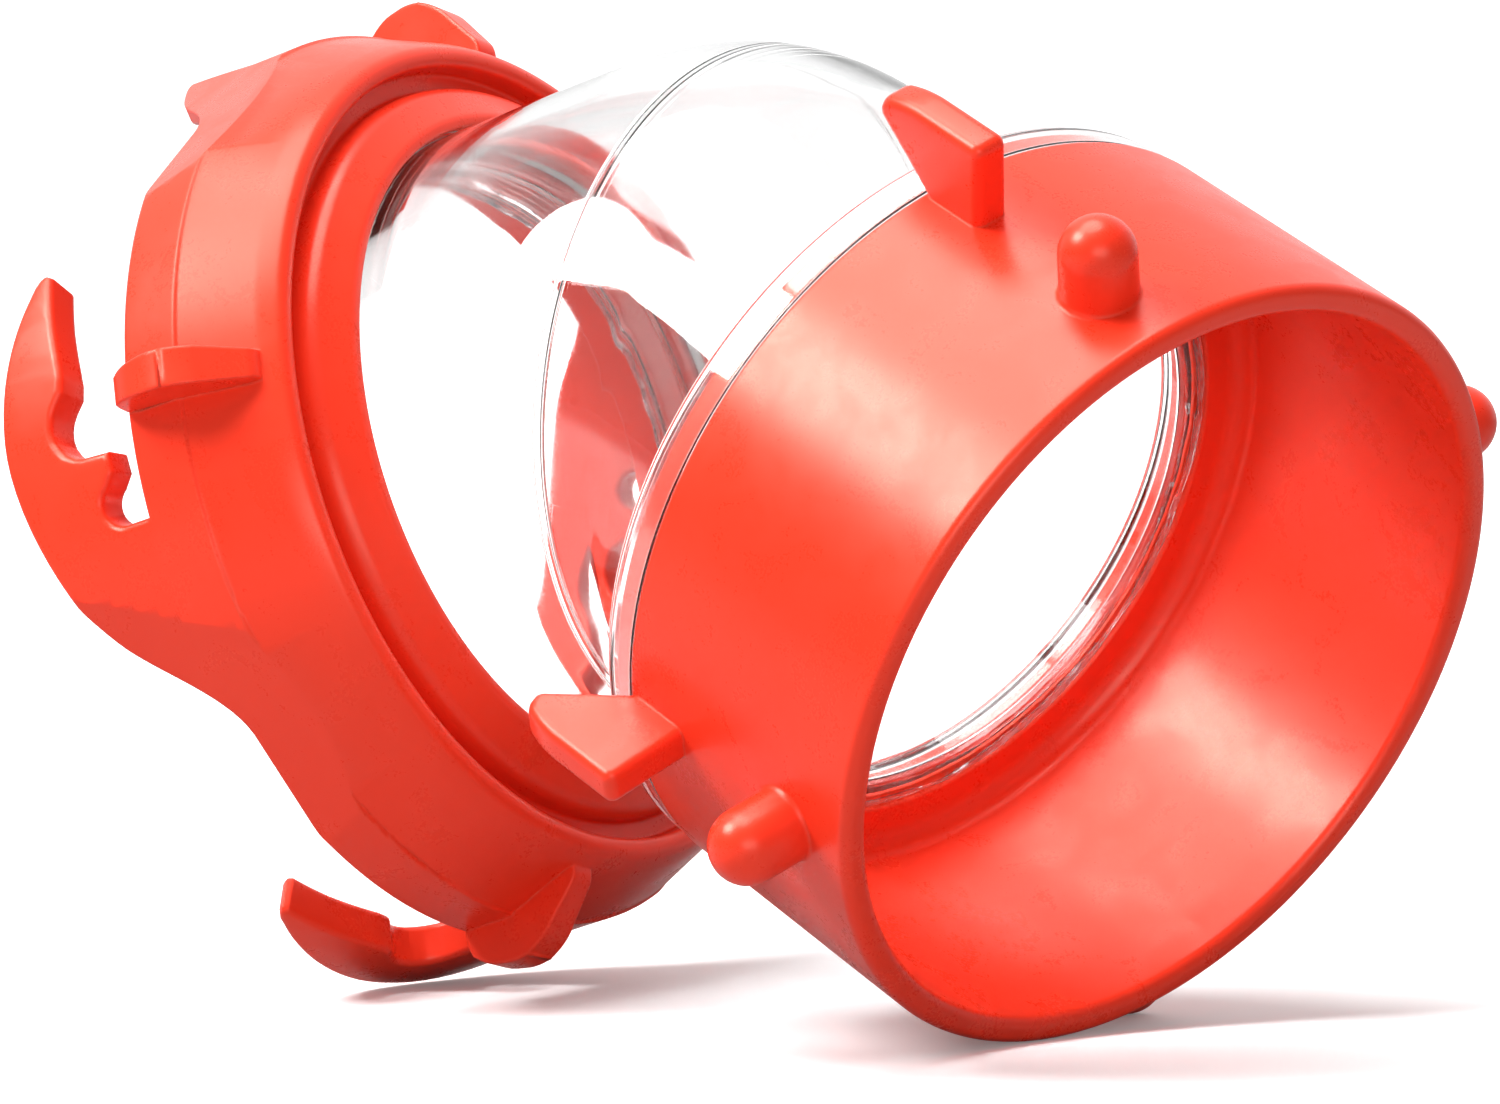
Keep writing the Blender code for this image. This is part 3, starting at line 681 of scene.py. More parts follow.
def as_object(name: str, bm: bmesh.types.BMesh) -> bpy.types.Object:
    """Make an object of a finished bmesh.

    Args:
        name: The object's name.
        bm: The bmesh, which is freed.

    Returns:
        The object, linked to the scene.
    """
    mesh = bpy.data.meshes.new(name)
    bm.to_mesh(mesh)
    bm.free()
    made = bpy.data.objects.new(name, mesh)
    bpy.context.scene.collection.objects.link(made)
    return made


class Join(Enum):
    """How another body changes a piece."""

    UNION = "UNION"
    DIFFERENCE = "DIFFERENCE"


def combined(name: str, first: bmesh.types.BMesh,
             others: Sequence[tuple[Join, bmesh.types.BMesh]]) -> bpy.types.Object:
    """Unite or cut closed bodies exactly and keep the result as a plain mesh.

    Args:
        name: The piece's name.
        first: The body that is changed.
        others: The bodies that change it, in order.

    Returns:
        The finished object.
    """
    made = as_object(name, first)
    tools = []
    for how, bm in others:
        tool = as_object(f"{name}_tool", bm)
        tools.append(tool)
        step = made.modifiers.new("shape", "BOOLEAN")
        step.operation = how.value
        step.solver = "EXACT"
        step.object = tool
    bpy.context.view_layer.update()
    graph = bpy.context.evaluated_depsgraph_get()
    mesh = bpy.data.meshes.new_from_object(made.evaluated_get(graph))
    made.modifiers.clear()
    made.data = healed(mesh)
    for tool in tools:
        bpy.data.objects.remove(tool, do_unlink=True)
    return made


def healed(mesh: bpy.types.Mesh) -> bpy.types.Mesh:
    """Merge the hair-thin slivers that an exact cut can leave, so that the body is closed.

    Args:
        mesh: The mesh, which is changed.

    Returns:
        The same mesh.
    """
    bm = bmesh.new()
    bm.from_mesh(mesh)
    bmesh.ops.remove_doubles(bm, verts=bm.verts[:], dist=SLIVER)
    bmesh.ops.dissolve_degenerate(bm, edges=bm.edges[:], dist=1e-6)
    gaps = [edge for edge in bm.edges if edge.is_boundary]
    bmesh.ops.holes_fill(bm, edges=gaps, sides=0)
    bm.to_mesh(mesh)
    bm.free()
    return mesh


@dataclass
class Placing:
    """How a finished piece is put in its place."""

    body: Body
    slot: Slot
    stands_for: tuple[str, ...]

    def settle(self, made: bpy.types.Object, where: Matrix, material: bpy.types.Material,
               sharp: float = 34.0) -> bpy.types.Object:
        """Move, shade and dress a piece, and tie it to its body.

        Args:
            made: The piece, modelled in the frame given.
            where: The frame it was modelled in.
            material: Its finish.
            sharp: The angle in degrees past which an edge stays sharp.

        Returns:
            The piece.
        """
        made.data.transform(where)
        made.data.materials.clear()
        made.data.materials.append(material)
        made.data.shade_smooth()
        made.data.set_sharp_from_angle(angle=math.radians(sharp))
        weigh = made.modifiers.new("even_shading", "WEIGHTED_NORMAL")
        weigh.keep_sharp = True
        weigh.weight = 60
        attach(made, self.body.value)
        if self.stands_for:
            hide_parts(*self.stands_for)
        log.info("%s: %d faces on %s", made.name, len(made.data.polygons), self.body.value)
        return made


# Pieces


@dataclass
class ClearElbow:
    """The clear elbow with its sleeves, the cup behind the collar and both retaining rings."""

    hook_leg_r: float = 39.7 * MM
    collar_leg_r: float = 37.6 * MM
    swell: float = 0.9 * MM
    wall: float = 2.0 * MM
    sleeve_r: float = 37.6 * MM
    sleeve_wall: float = 1.5 * MM
    reach: float = 26.0 * MM
    crown_round: float = 17.0 * MM
    throat_round: float = 4.0 * MM
    round_share: float = 0.45
    stations: int = 60
    cup_r: float = 48.1 * MM
    cup_inner_r: float = 46.5 * MM
    cup_front: float = 36.26 * MM
    cup_face: float = 32.2 * MM
    cup_back: float = 30.9 * MM
    collar_end: float = 34.9 * MM
    hook_step: float = 33.2 * MM
    hook_end: float = 37.0 * MM

    def on_leg(self, side: float, radius: float, angle: float, station: float) -> Vector:
        """A point of the elbow's frame at a place on one leg.

        Args:
            side: 1 for the collar's leg and -1 for the hook ring's.
            radius: Distance from the leg's axis.
            angle: Turn about the axis, a quarter turn at the crown.
            station: Distance out along the leg.

        Returns:
            The point.
        """
        cosine = math.cos(FRAME.half_bend)
        sine = math.sin(FRAME.half_bend)
        out = Vector((side * cosine, 0.0, -sine))
        crown = Vector((side * sine, 0.0, cosine))
        across = Vector((0.0, 1.0, 0.0))
        return out * station + (across * math.cos(angle) + crown * math.sin(angle)) * radius

    def bent(self, point: Vector) -> Vector:
        """Carry a point of a straight tube to the mitred, rounded elbow.

        Args:
            point: The point, its Z the distance from the mitre, positive on the collar's leg.

        Returns:
            The point on the elbow.
        """
        radius = math.hypot(point.x, point.y)
        angle = math.atan2(point.y, point.x)
        side = 1.0 if point.z >= 0 else -1.0
        if abs(point.z) >= self.reach:
            return self.on_leg(side, radius, angle, abs(point.z))
        mitre = -radius * math.sin(angle) * math.tan(FRAME.half_bend)
        rise = (1 + math.sin(angle)) / 2
        ease = self.throat_round + (self.crown_round - self.throat_round) * rise
        part = abs(point.z) / self.reach
        if part >= self.round_share:
            along = (part - self.round_share) / (1 - self.round_share)
            station = mitre + ease + (self.reach - mitre - ease) * along
            return self.on_leg(side, radius, angle, station)
        t = 0.5 + 0.5 * side * part / self.round_share
        start = self.on_leg(-1.0, radius, angle, mitre + ease)
        middle = self.on_leg(1.0, radius, angle, mitre)
        end = self.on_leg(1.0, radius, angle, mitre + ease)
        return start * (1 - t) ** 2 + middle * (2 * t * (1 - t)) + end * t**2

    def leg_r(self, part: float) -> float:
        """Outer radius from the hook end, at -1, to the collar end, at 1."""
        share = (part + 1) / 2
        taper = self.collar_leg_r - self.hook_leg_r
        blend = share * share * (3 - 2 * share)
        return self.hook_leg_r + taper * blend + self.swell * math.sin(math.pi * share) ** 2

    def shell(self) -> bmesh.types.BMesh:
        """The clear body, turned straight and then bent.

        Returns:
            Its bmesh in the elbow's frame.
        """
        parts = [-1.0 + 2.0 * step / self.stations for step in range(self.stations + 1)]
        outer = [(self.leg_r(part), part * self.reach, 0.0) for part in parts]
        inner = [(r - self.wall, z, 0.0) for r, z, _ in outer]
        sleeve_bore = self.sleeve_r - self.sleeve_wall
        collar_end = [
            (self.collar_leg_r, self.cup_back, 1.5 * MM),
            (self.cup_r, self.cup_back, 2.0 * MM),
            (self.cup_r, self.cup_front, 0.4 * MM),
            (self.cup_inner_r, self.cup_front, 0.4 * MM),
            (self.cup_inner_r, self.cup_face, 0.25 * MM),
            (self.sleeve_r, self.cup_face, 0.25 * MM),
            (self.sleeve_r, self.collar_end, 0.2 * MM),
            (sleeve_bore, self.collar_end, 0.5 * MM),
        ]
        hook_end = [
            (sleeve_bore, -self.hook_end, 0.5 * MM),
            (self.sleeve_r, -self.hook_end, 0.2 * MM),
            (self.sleeve_r, -self.hook_step, 0.2 * MM),
            (self.hook_leg_r, -self.hook_step, 0.4 * MM),
        ]
        bm = lathe(plate(outer + collar_end + inner[::-1] + hook_end))
        for vert in bm.verts:
            vert.co = self.bent(vert.co)
        return bm

    def build(self) -> None:
        """Model and dress the elbow and its retaining rings."""
        finish = ClearPlastic(
            "clear_elbow_plastic", FRAME.elbow, (0.985, 0.99, 0.99), parting=0.12 * MM
        )
        body = as_object("elbow_shell", self.shell())
        Placing(Body.ELBOW, Slot.CLEAR, ("elbow_body",)).settle(
            body, FRAME.elbow, finish.material(), 50.0
        )
        for ring in (
            RetainingRing("collar_weld_ring", Body.COLLAR, "collar_retaining_ring",
                          34.9 * MM, 36.2 * MM),
            RetainingRing("hook_weld_ring", Body.HOOKS, "hook_retaining_ring",
                          37.0 * MM, 38.7 * MM),
        ):
            ring.build()


@dataclass
class RetainingRing:
    """A clear ring welded on a sleeve's end, with the ragged flash that the weld squeezed out."""

    name: str
    leg: Body
    stands_for: str
    back: float
    front: float
    inner: float = 36.1 * MM
    outer: float = 39.2 * MM
    wander: float = 0.25 * MM
    bead: float = 0.5 * MM

    def ring(self) -> bmesh.types.BMesh:
        """The ring, its front corner swollen unevenly.

        Returns:
            Its bmesh in the leg's frame.
        """
        bm = lathe(plate([
            (self.inner, self.back, 0.15 * MM),
            (self.outer, self.back, 0.2 * MM),
            (self.outer, self.front, 0.5 * MM),
            (self.inner, self.front, 0.5 * MM),
        ]), LATHE_STEPS * 2)
        for vert in bm.verts:
            if vert.co.z > (self.back + self.front) / 2:
                push = noise.noise(vert.co * 260.0) * self.wander
                vert.co.z += push - self.wander * 0.4
        return bm

    def flash(self) -> bmesh.types.BMesh:
        """The weld flash: a bead that thickens, thins and breaks off round the ring.

        Returns:
            Its bmesh in the leg's frame.
        """
        bm = bmesh.new()
        bmesh.ops.create_circle(bm, cap_ends=False, segments=12, radius=1.0)
        swing(bm, math.pi / 2, "X")
        middle = Vector((self.outer - 1.0 * MM, 0.0, self.front))
        bmesh.ops.scale(bm, verts=bm.verts[:], vec=(self.bead, 1.0, self.bead * 0.6))
        bmesh.ops.translate(bm, verts=bm.verts[:], vec=middle)
        bmesh.ops.spin(
            bm, geom=bm.verts[:] + bm.edges[:], cent=(0, 0, 0), axis=(0, 0, 1), dvec=(0, 0, 0),
            angle=math.tau, steps=LATHE_STEPS * 2, use_merge=True, use_duplicate=False,
        )
        bmesh.ops.remove_doubles(bm, verts=bm.verts[:], dist=TOUCHING)
        for vert in bm.verts:
            angle = math.atan2(vert.co.y, vert.co.x)
            out = Vector((math.cos(angle), math.sin(angle), 0.0))
            core = out * middle.x + Vector((0.0, 0.0, middle.z))
            swell = 0.75 + 1.3 * noise.noise(core * 110.0) + 0.5 * noise.noise(core * 380.0)
            lump = 1.0 + 0.25 * noise.noise(vert.co * 600.0)
            drift = out * noise.noise(core * 90.0) * 0.5 * MM
            vert.co = core + drift + (vert.co - core) * min(max(swell, 0.25), 1.3) * lump
        bmesh.ops.recalc_face_normals(bm, faces=bm.faces[:])
        return bm

    def build(self) -> None:
        """Model and dress the ring and its flash."""
        where = FRAME.leg(self.leg)
        clear = ClearPlastic(
            f"{self.name}_plastic", where, (0.98, 0.98, 0.985), roughest=0.06, flash=0.02 * MM
        ).material()
        rough = ClearPlastic(
            f"{self.name}_flash_plastic", where, (0.99, 0.97, 0.97), smoothest=0.02,
            roughest=0.1, flash=0.04 * MM,
        ).material()
        ring = as_object(self.name, self.ring())
        Placing(Body.ELBOW, Slot.CLEAR_RING, (self.stands_for,)).settle(ring, where, clear, 60.0)
        flash = as_object(f"{self.name}_flash", self.flash())
        Placing(Body.ELBOW, Slot.CLEAR_RING, ()).settle(flash, where, rough, 80.0)


@dataclass
class LugCollar:
    """The collar: a socket with a web, four fins and four round pegs in one moulding."""

    outer_r: float = 48.4 * MM
    wall: float = 3.3 * MM
    back: float = 36.56 * MM
    length: float = 38.0 * MM
    draft: float = 0.25 * MM
    lip_round: float = 1.3 * MM
    floor: float = 36.2 * MM
    floor_round: float = 3.0 * MM
    web: float = 3.7 * MM
    web_r: float = 46.2 * MM
    web_bore: float = 37.9 * MM
    pocket_r: float = 39.5 * MM
    pocket_floor: float = 34.9 * MM
    seal_r: float = 42.1 * MM
    seal_width: float = 2.1 * MM
    seal_depth: float = 1.7 * MM
    cord_r: float = 0.75 * MM
    lug_phase: float = math.radians(44.8)
    peg_station: float = 63.9 * MM
    peg_r: float = 4.5 * MM
    peg_top: float = 58.4 * MM
    peg_flare: float = 1.1 * MM
    fin_thickness: float = 4.5 * MM
    fin_top: float = 59.6 * MM

    @property
    def bore(self) -> float:
        """Radius of the socket's bore."""
        return self.outer_r - self.wall

    @property
    def root(self) -> float:
        """Radius inside the wall at which the lugs start."""
        return self.bore + self.wall / 2

    def socket(self) -> bmesh.types.BMesh:
        """The turned body.

        Returns:
            Its bmesh in the collar's frame.
        """
        mouth = self.back + self.length
        web_back = self.floor - self.web
        groove = web_back + self.seal_depth
        return lathe(plate([
            (self.outer_r + self.draft, mouth, self.lip_round),
            (self.outer_r, self.back, 0.6 * MM),
            (self.web_r, self.back, 0.2 * MM),
            (self.web_r, web_back, 0.4 * MM),
            (self.seal_r + self.seal_width / 2, web_back, 0.0),
            (self.seal_r + self.seal_width / 2, groove, 0.0),
            (self.seal_r - self.seal_width / 2, groove, 0.0),
            (self.seal_r - self.seal_width / 2, web_back, 0.0),
            (self.web_bore, web_back, 0.0),
            (self.web_bore, self.pocket_floor, 0.0),
            (self.pocket_r, self.pocket_floor, 0.0),
            (self.pocket_r, self.floor, 0.25 * MM),
            (self.bore, self.floor, self.floor_round),
            (self.bore + self.draft / 2, mouth, self.lip_round),
        ], segments=8))

    def fins(self) -> bmesh.types.BMesh:
        """Four fins that reach back past the collar's rear edge.

        Returns:
            Their bmesh in the collar's frame.
        """
        back = self.back
        return blades([
            (self.root, back + 1.2 * MM, 0.0),
            (self.outer_r - 0.4 * MM, back + 0.6 * MM, 0.0),
            (self.fin_top - 3.6 * MM, back - 7.6 * MM, 1.0 * MM),
            (self.fin_top - 1.2 * MM, back - 6.4 * MM, 1.0 * MM),
            (self.fin_top, back - 2.2 * MM, 2.0 * MM),
            (self.fin_top, back + 10.1 * MM, 1.4 * MM),
            (self.root, back + 9.4 * MM, 0.0),
        ], self.fin_thickness, 1.2 * MM, self.lug_phase)

    def pegs(self) -> bmesh.types.BMesh:
        """Four domed pegs, each flared into the wall at its foot.

        Returns:
            Their bmesh in the collar's frame.
        """
        bm = bmesh.new()
        bmesh.ops.create_uvsphere(bm, u_segments=48, v_segments=24, radius=self.peg_r)
        bmesh.ops.bisect_plane(
            bm, geom=whole(bm), dist=TOUCHING, plane_co=(0, 0, 0),
            plane_no=(0, 0, 1), clear_inner=True,
        )
        shoulder = self.peg_top - self.peg_r
        foot = self.outer_r - 0.35 * MM
        down = [(self.peg_r, shoulder - foot - self.peg_flare)]
        for step in range(1, 7):
            lean = math.pi / 2 * step / 6
            down.append((
                self.peg_r + self.peg_flare * (1 - math.cos(lean)),
                shoulder - foot - self.peg_flare * (1 - math.sin(lean)),
            ))
        down.append((self.peg_r + self.peg_flare, shoulder - self.root))
        rim = [edge for edge in bm.edges if edge.is_boundary]
        radius = self.peg_r
        depth = 0.0
        for wide, deep in down:
            grown = bmesh.ops.extrude_edge_only(bm, edges=rim)
            verts = moved(grown["geom"])
            bmesh.ops.scale(bm, verts=verts, vec=(wide / radius, wide / radius, 1.0))
            bmesh.ops.translate(bm, verts=verts, vec=(0, 0, depth - deep))
            rim = [item for item in grown["geom"] if isinstance(item, bmesh.types.BMEdge)
                   and item.is_boundary]
            radius, depth = wide, deep
        bmesh.ops.holes_fill(bm, edges=rim, sides=0)
        bmesh.ops.recalc_face_normals(bm, faces=bm.faces[:])
        shift(bm, 0, 0, shoulder)
        swing(bm, math.pi / 2, "Y")
        shift(bm, 0, 0, self.peg_station)
        repeat_round(bm, self.lug_phase)
        return bm

    def build(self, plastic: Callable[[str, Matrix], bpy.types.Material],
              silicone: Callable[[str, Matrix], bpy.types.Material]) -> None:
        """Model and dress the collar and its seal.

        Args:
            plastic: Makes the collar's finish.
            silicone: Makes the seal's finish.
        """
        where = FRAME.leg(Body.COLLAR)
        made = combined("collar_moulding", self.socket(), [
            (Join.UNION, self.fins()),
            (Join.UNION, self.pegs()),
        ])
        Placing(Body.COLLAR, Slot.ORANGE, ("lug_collar",)).settle(
            made, where, plastic("collar_plastic", where)
        )
        station = self.floor - self.web + self.seal_depth / 2
        seal = as_object("collar_seal_cord", seal_cord(self.seal_r, station, self.cord_r))
        Placing(Body.COLLAR, Slot.SILICONE, ("collar_swivel_seal",)).settle(
            seal, where, silicone("collar_seal_silicone", where), 80.0
        )


def seal_cord(radius: float, station: float, section: float) -> bmesh.types.BMesh:
    """A round seal cord.

    Args:
        radius: Radius of the cord's centre line.
        station: Its distance out along the leg.
        section: Radius of the cord itself.

    Returns:
        Its bmesh in the leg's frame.
    """
    bm = bmesh.new()
    bmesh.ops.create_circle(bm, cap_ends=True, segments=20, radius=section)
    bmesh.ops.rotate(
        bm, verts=bm.verts[:], cent=(0, 0, 0), matrix=Matrix.Rotation(math.pi / 2, 3, "X")
    )
    bmesh.ops.translate(bm, verts=bm.verts[:], vec=(radius, 0, station))
    return lathe(bm)


@dataclass
class HookRing:
    """The hook ring: hub, grooved band, skirt, four hooks and four grip wings."""

    lip: float = 27.9 * MM
    hub_r: float = 45.9 * MM
    hub_bore: float = 40.0 * MM
    groove_r: float = 48.5 * MM
    groove_floor: float = 34.2 * MM
    band_back: float = 30.8 * MM
    ridge: float = 42.5 * MM
    ridge_r: float = 55.8 * MM
    skirt_r: float = 56.2 * MM
    skirt_wall: float = 4.3 * MM
    skirt_front: float = 50.7 * MM
    seat: float = 33.5 * MM
    web_front: float = 37.0 * MM
    web_bore: float = 37.9 * MM
    land: float = 44.5 * MM
    counterbore: float = 42.0 * MM
    face_lip_r: float = 43.3 * MM
    face_lip: float = 2.0 * MM
    seal_station: float = 30.8 * MM
    seal_width: float = 2.1 * MM
    seal_depth: float = 1.7 * MM
    cord_r: float = 0.75 * MM
    tip_r: float = 57.3 * MM
    facet_phase: float = math.radians(133.2)
    facet_back_r: float = 55.1 * MM
    facet_front_r: float = 53.8 * MM
    facet_back: float = 39.5 * MM
    facet_tail: float = 16.0 * MM
    wing_phase: float = math.radians(87.7)
    wing_thickness: float = 6.6 * MM
    wing_taper: float = 0.72
    wing_edge: float = 2.1 * MM
    wing_pinch: float = 0.42
    wing_top: float = 61.9 * MM
    rim_round: float = 0.7 * MM
    seam_lead: float = math.radians(10.0)

    @property
    def skirt_bore(self) -> float:
        """Inner radius of the skirt."""
        return self.skirt_r - self.skirt_wall

    def hub(self) -> bmesh.types.BMesh:
        """The turned body: hub, groove, band and the face that takes the gasket.

        Returns:
            Its bmesh in the hook ring's frame.
        """
        seal_back = self.seal_station - self.seal_width / 2
        seal_front = self.seal_station + self.seal_width / 2
        seal_floor = self.hub_bore + self.seal_depth
        return lathe(plate([
            (self.hub_bore, self.lip, 0.3 * MM),
            (self.hub_bore + 1.3 * MM, self.lip, 0.5 * MM),
            (self.hub_r, self.lip + 3.0 * MM, 1.5 * MM),
            (self.hub_r, self.groove_floor, 0.5 * MM),
            (self.groove_r, self.groove_floor, 0.5 * MM),
            (self.groove_r, self.band_back, 1.0 * MM),
            (self.groove_r + 2.2 * MM, self.band_back, 0.9 * MM),
            (self.groove_r + 3.5 * MM, self.band_back + 1.9 * MM, 1.2 * MM),
            (self.ridge_r, self.ridge, 0.0),
            (self.ridge_r - 1.3 * MM, self.ridge + 1.0 * MM, 0.0),
            (self.skirt_bore + 1.0 * MM, self.land, 0.0),
            (self.face_lip_r, self.land, 0.0),
            (self.face_lip_r, self.land + self.face_lip, 0.4 * MM),
            (self.counterbore, self.land + self.face_lip, 0.4 * MM),
            (self.counterbore, self.web_front, 0.0),
            (self.web_bore, self.web_front, 0.3 * MM),
            (self.web_bore, self.seat, 0.0),
            (self.hub_bore, self.seat, 0.0),
            (self.hub_bore, seal_front, 0.0),
            (seal_floor, seal_front, 0.0),
            (seal_floor, seal_back, 0.0),
            (self.hub_bore, seal_back, 0.0),
        ]))

    @staticmethod
    def hook_outline() -> list[tuple[float, float]]:
        """One hook unrolled: (angle in degrees, station in millimetres) from root round to slot.

        Returns:
            The outline's points in order.
        """
        knots = [
            ((133.0, 50.7), (6.0, 0.3)),
            ((148.9, 60.6), (4.6, 2.9)),
            ((177.5, 68.8), (9.0, 0.0)),
            ((195.6, 65.3), (2.6, -1.1)),
        ]
        points: list[tuple[float, float]] = []
        for (start, leave), (end, reach) in zip(knots, knots[1:]):
            first = Vector(start)
            last = Vector(end)
            curve = interpolate_bezier(
                first, first + Vector(leave), last - Vector(reach), last, 15
            )
            points.extend(tuple(point) for point in curve[:-1])
        points.append(knots[-1][0])
        points += [(197.2, 64.7), (198.2, 64.0), (198.7, 63.2), (198.2, 62.4)]
        points += [(192.0, 61.4), (186.0, 60.2), (183.6, 59.8), (181.6, 59.9), (180.0, 61.0)]
        points += [(179.0, 61.5), (177.9, 61.75), (176.7, 61.75), (175.6, 61.5), (174.5, 60.9)]
        points += [(173.6, 60.2), (172.9, 59.1), (172.6, 58.0), (172.4, 54.3), (169.8, 54.1)]
        relief = 2.7
        arc = relief / (56.2 * math.radians(1.0))
        for step in range(13):
            lean = math.radians(35.0 + 155.0 * step / 12)
            points.append((165.8 + arc * math.cos(lean), 53.8 + relief * math.sin(lean)))
        return points

    def skirt_surface(self, station: float) -> float:
        """Outer radius of the skirt and hooks at a station."""
        if station < self.ridge:
            return self.ridge_r - 1.2 * MM
        past = (station - self.skirt_front) / (18.0 * MM)
        return self.skirt_r + (self.tip_r - self.skirt_r) * max(0.0, past)

    def skirt(self) -> bmesh.types.BMesh:
        """The skirt with its hooks: a flat strip cut to outline, rounded over and rolled up.

        Returns:
            Its bmesh in the hook ring's frame.
        """
        hook = [(math.radians(a), s * MM) for a, s in self.hook_outline()]
        pitch = math.tau / REPEATS
        start = hook[0][0] - self.seam_lead
        end = start + math.tau
        strip: list[tuple[float, float]] = [(start, self.skirt_front)]
        for turn in range(REPEATS):
            strip += [(angle + pitch * turn, station) for angle, station in hook]
            strip.append((hook[-1][0] + pitch * turn, self.skirt_front))
        strip.append((end, self.skirt_front))
        back = self.ridge - 0.9 * MM
        bm = bmesh.new()
        around = [bm.verts.new((angle * self.skirt_r, station, 0.0)) for angle, station in strip]
        around.append(bm.verts.new((end * self.skirt_r, back, 0.0)))
        around.append(bm.verts.new((start * self.skirt_r, back, 0.0)))
        bm.faces.new(around)
        grown = bmesh.ops.extrude_face_region(bm, geom=bm.faces[:])
        bmesh.ops.translate(bm, verts=moved(grown["geom"]), vec=(0, 0, self.skirt_wall))
        bmesh.ops.recalc_face_normals(bm, faces=bm.faces[:])
        self.round_rims(bm, start * self.skirt_r, end * self.skirt_r, back)
        bmesh.ops.triangulate(bm, faces=[face for face in bm.faces if len(face.verts) > 4])
        for cell in range(1, LATHE_STEPS):
            at = (start + math.tau * cell / LATHE_STEPS) * self.skirt_r
            bmesh.ops.bisect_plane(
                bm, geom=whole(bm), dist=TOUCHING,
                plane_co=(at, 0, 0), plane_no=(1, 0, 0),
            )
        for station in (self.ridge + 0.4 * MM, self.skirt_front):
            bmesh.ops.bisect_plane(
                bm, geom=whole(bm), dist=TOUCHING,
                plane_co=(0, station, 0), plane_no=(0, 1, 0),
            )
        for seam in (start * self.skirt_r, end * self.skirt_r):
            caps = [f for f in bm.faces if all(abs(v.co.x - seam) < 1e-6 for v in f.verts)]
            bmesh.ops.delete(bm, geom=caps, context="FACES")
        for vert in bm.verts:
            angle = vert.co.x / self.skirt_r
            share = vert.co.z / self.skirt_wall
            outer = self.skirt_surface(vert.co.y)
            radius = self.skirt_bore + (outer - self.skirt_bore) * share
            vert.co = (radius * math.cos(angle), radius * math.sin(angle), vert.co.y)
        bmesh.ops.remove_doubles(bm, verts=bm.verts[:], dist=1e-6)
        bmesh.ops.recalc_face_normals(bm, faces=bm.faces[:])
        return bm

    def round_rims(self, bm: bmesh.types.BMesh, start: float, end: float, back: float) -> None:
        """Round over the hooks' rims, but not the strip's seams or its hidden back edge.

        Args:
            bm: The strip.
            start: Where it starts.
            end: Where it ends.
            back: Its back edge.
        """
        rims = []
        for edge in bm.edges:
            a, b = (vert.co for vert in edge.verts)
            flat = abs(a.z - b.z) < TOUCHING
            seam = any(abs(a.x - x) < TOUCHING and abs(b.x - x) < TOUCHING for x in (start, end))
            hidden = abs(a.y - back) < TOUCHING and abs(b.y - back) < TOUCHING
            if flat and not seam and not hidden:
                rims.append(edge)
        bmesh.ops.bevel(
            bm, geom=rims, offset=self.rim_round, offset_type="OFFSET", segments=3, profile=0.5,
            affect="EDGES", clamp_overlap=True, material=-1,
        )

    def facets(self) -> bmesh.types.BMesh:
        """Four leaning slabs that leave flats on the skirt between the wings.

        Returns:
            Their bmesh in the hook ring's frame.
        """
        bm = bmesh.new()
        depth, width, length = 12.0 * MM, 70.0 * MM, 60.0 * MM
        bmesh.ops.create_cube(bm, size=1.0)
        bmesh.ops.scale(bm, verts=bm.verts[:], vec=(depth, width, length))
        shift(bm, depth / 2, 0, length / 2 - self.facet_tail)
        fall = self.facet_back_r - self.facet_front_r
        lean = math.atan2(fall, self.skirt_front - self.facet_back)
        swing(bm, -lean, "Y")
        shift(bm, self.facet_back_r, 0, self.facet_back)
        repeat_round(bm, self.facet_phase)
        return bm

    def wings(self) -> bmesh.types.BMesh:
        """Four grip wings lying along the skirt.

        Returns:
            Their bmesh in the hook ring's frame.
        """
        root = self.skirt_r - self.skirt_wall / 2
        front = self.skirt_front
        return blades([
            (root - 3.5 * MM, front - 17.0 * MM, 0.0),
            (root - 0.6 * MM, front - 17.6 * MM, 1.2 * MM),
            (self.wing_top - 1.2 * MM, front - 11.6 * MM, 3.0 * MM),
            (self.wing_top, front - 8.0 * MM, 1.6 * MM),
            (self.wing_top - 0.9 * MM, front - 2.6 * MM, 2.6 * MM),
            (self.wing_top - 4.0 * MM, front + 0.3 * MM, 2.6 * MM),
            (root, front - 1.0 * MM, 0.0),
        ], self.wing_thickness, self.wing_edge, self.wing_phase, self.wing_taper, self.wing_pinch)

    def gasket(self) -> bmesh.types.BMesh:
        """The face gasket with two sealing ribs.

        Returns:
            Its bmesh in the hook ring's frame.
        """
        inner = self.face_lip_r + GAP
        outer = self.skirt_bore - GAP
        back = self.land + GAP
        front = back + 3.0 * MM
        third = (outer - inner) / 3
        corners = [(inner, back, 0.2 * MM), (outer, back, 0.2 * MM), (outer, front - 0.5 * MM, 0.4 * MM)]
        for middle in (outer - third * 0.8, inner + third * 0.8):
            corners += [
                (middle + 0.8 * MM, front - 0.5 * MM, 0.1 * MM),
                (middle, front, 0.3 * MM),
                (middle - 0.8 * MM, front - 0.5 * MM, 0.1 * MM),
            ]
        corners.append((inner, front - 0.5 * MM, 0.4 * MM))
        return lathe(plate(corners, segments=4))

